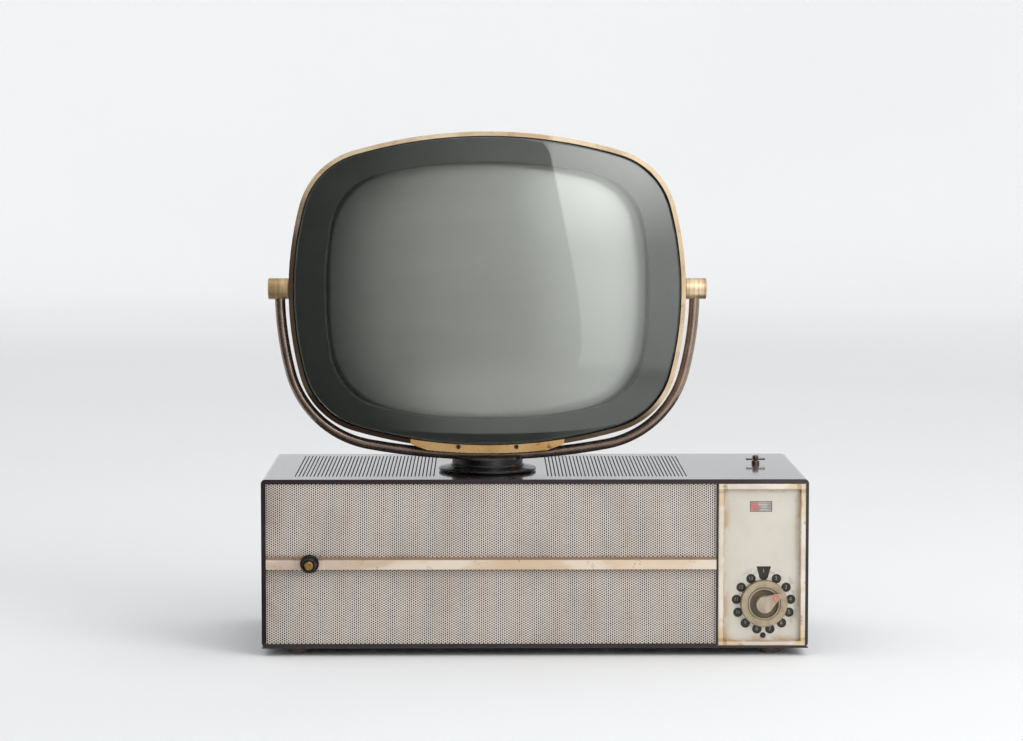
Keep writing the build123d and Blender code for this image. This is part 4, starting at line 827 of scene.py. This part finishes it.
def build_window():
    """Clear domed window with a rounded rim."""
    reaches = [ROLL_R * (step / ROLL_STEPS) ** 2 for step in range(ROLL_STEPS + 1)]
    rim = outline(RING, WINDOW_INSET + ROLL_R)
    shares = (0.02, 0.08, 0.16, 0.24, 0.32, 0.4, 0.48, 0.56, 0.64, 0.72, 0.8, 0.87, 0.94)
    inner = [[(x * s, z * s) for x, z in rim] for s in shares]
    rings = [(line, dome) for line in inner]
    for reach in reversed(reaches):
        fall = roll(reach, ROLL_R) * ROLL_DEPTH
        rings.append((outline(RING, WINDOW_INSET + reach), lambda x, z, f=fall: dome(x, z) + f))
    rings.append((outline(RING, WINDOW_INSET), lambda x, z: dome(x, z) + WINDOW_T))
    rings += [(line, lambda x, z: dome(x, z) + WINDOW_T) for line in [rim] + inner[::-1]]
    head_shell("domed_window", "front_window", "clear_window", rings, capped=True)


def build_mask():
    """Dark frame between the window and the tube, turned back in a rounded lip to the glass."""
    outer = tuple(value - MASK_INSET for value in RING)
    lip_start = tuple(value + LIP_R for value in OPENING)
    tube_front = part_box("picture_tube")[0].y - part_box("front_window")[0].y

    def face(x, z):
        return dome(x, z) + MASK_OFFSET

    def back(x, z):
        return face(x, z) + MASK_T

    def wall_end(x, z):
        return tube_front + TUBE_R - math.sqrt(TUBE_R**2 - x**2 - z**2) - MASK_CLEARANCE

    front_shares = (0.0, 0.02, 0.2, 0.4, 0.6, 0.8, 0.95, 1.0)
    back_shares = (0.93, 0.6, 0.3, 0.0)
    rings = [(outline(between(outer, lip_start, share)), face) for share in front_shares]
    for reach in (0.8, 0.45, 0.2, 0.05, 0.0):
        fall = roll(reach, LIP_R)
        rings.append((outline(OPENING, -reach), lambda x, z, f=fall: face(x, z) + f))
    rings.append((outline(OPENING), wall_end))
    rings.append((outline(OPENING, -2.0), wall_end))
    rings += [(outline(between(outer, lip_start, share)), back) for share in back_shares]
    head_shell("screen_surround", "screen_mask", "mask_grey", rings[::-1])


build_window()
build_mask()
build_grille()
build_numerals()
build_pointer_mark()


# ---- room ---------------------------------------------------------------------------
def studio_bowl():
    """Pale floor that curves up into a round wall."""
    floor_r = 7.0
    bend = 3.0
    wall_high = 8.0
    profile = [(0.02, 0), (1.5, 0), (4, 0)]
    profile += [
        (floor_r + bend * math.sin(a), bend * (1 - math.cos(a)))
        for a in [math.radians(d) for d in range(0, 91, 6)]
    ]
    profile.append((floor_r + bend, wall_high))
    around = 96
    points = []
    for radius, height in profile:
        for step in range(around):
            angle = 2 * math.pi * step / around
            points.append((radius * math.cos(angle), radius * math.sin(angle), height))
    faces = []
    for ring in range(len(profile) - 1):
        for step in range(around):
            a = ring * around + step
            b = ring * around + (step + 1) % around
            faces.append((a, b, b + around, a + around))
    faces.append(tuple(range(around))[::-1])
    bowl = new_mesh("studio_bowl", points, faces, smooth=True)
    g = Graph("studio_white")
    color = g.mix(g.ramp(g.noise(0.6, 2.0), 0.3, 0.7), (0.86, 0.86, 0.86, 1), (0.84, 0.84, 0.84, 1))
    away = g.calc("SQRT", g.plus(g.times(g.axis(0), g.axis(0)), g.times(g.axis(1), g.axis(1))))
    lift = g.ramp(away, 3.0, 8.5, 0.0, 0.18)
    bowl.data.materials.append(
        g.surface(
            Base_Color=color, Roughness=0.9, Specular_IOR_Level=0.1,
            Emission_Color=(1, 1, 1, 1), Emission_Strength=lift,
        )
    )


def reflection_card():
    """Glowing screen round the front that only reflections see: dark on the left, a soft box on the right."""
    head = middle("front_window")
    floor_r = 1.3
    bend = 0.4
    profile = [(0.30, 0.001), (0.7, 0.001), (floor_r, 0.001)]
    profile += [
        (floor_r + bend * math.sin(a), 0.001 + bend * (1 - math.cos(a)))
        for a in [math.radians(d) for d in range(10, 91, 10)]
    ]
    profile.append((floor_r + bend, 3.0))
    steps = 80
    points = []
    for radius, height in profile:
        for step in range(steps + 1):
            angle = math.radians(-80 + 160 * step / steps)
            points.append((head.x + radius * math.sin(angle), head.y - radius * math.cos(angle), height))
    faces = []
    for ring in range(len(profile) - 1):
        for step in range(steps):
            a = ring * (steps + 1) + step
            faces.append((a, a + 1, a + steps + 2, a + steps + 1))
    card = new_mesh("reflection_card", points, faces, smooth=True)
    g = Graph("card_glow")
    across = g.calc("SUBTRACT", g.axis(0), head.x)
    along = g.calc("SUBTRACT", head.y, g.axis(1))
    turn = g.times(g.calc("ARCTAN2", across, along), 180 / math.pi)
    away = g.calc("SQRT", g.plus(g.times(across, across), g.times(along, along)))
    rise = g.times(g.calc("ARCTAN2", g.calc("SUBTRACT", g.axis(2), 0.36), away), 180 / math.pi)
    low_share = g.times(g.ramp(rise, -14.0, -27.0), g.ramp(turn, -34.0, -8.0), 0.5)
    base = g.plus(g.ramp(turn, -31.0, 10.0, 0.02, 0.68), low_share)
    edge = g.plus(14.96, g.times(rise, -0.131))
    inside = g.times(
        g.ramp(g.calc("SUBTRACT", turn, edge), -0.25, 0.25),
        g.ramp(turn, 52.0, 40.0),
        g.ramp(rise, -20.5, -16.5),
        g.ramp(rise, 58.0, 48.0),
    )
    box = g.plus(
        g.ramp(rise, -20.0, 6.0, 0.75, 1.15),
        g.times(g.ramp(rise, 6.0, 30.0), g.ramp(turn, 8.0, 26.0, 1.9, 3.9)),
    )
    strength = g.plus(base, g.times(inside, box))
    glow = g.node("ShaderNodeEmission", Color=(1.0, 1.0, 1.0, 1.0), Strength=strength)
    card.data.materials.append(g.output(glow.outputs[0]))
    card.visible_camera = False
    card.visible_diffuse = False
    card.visible_shadow = False
    card.visible_transmission = False


def soft_light(name, place, target, width, height, power, reflected=True):
    data = bpy.data.lights.new(name, "AREA")
    data.shape = "RECTANGLE"
    data.size = width
    data.size_y = height
    data.energy = power
    made = bpy.data.objects.new(name, data)
    made.location = place
    made.rotation_euler = (Vector(target) - Vector(place)).to_track_quat("-Z", "Y").to_euler()
    made.visible_camera = False
    made.visible_glossy = reflected
    bpy.context.scene.collection.objects.link(made)


studio_bowl()
reflection_card()
soft_light("overhead", (1.5, -0.5, 4.7), (0.1, 0, 0), 5.0, 5.0, 56)
soft_light("right_softbox", (2.6, -2.4, 1.7), (-0.1, 0, 0.3), 2.2, 2.2, 58, reflected=False)

world = bpy.data.worlds.new("studio")
world.use_nodes = True
bpy.context.scene.world = world
sky = world.node_tree.nodes["Background"]
sky.inputs["Color"].default_value = (0.95, 0.97, 1.0, 1.0)
sky.inputs["Strength"].default_value = 0.74
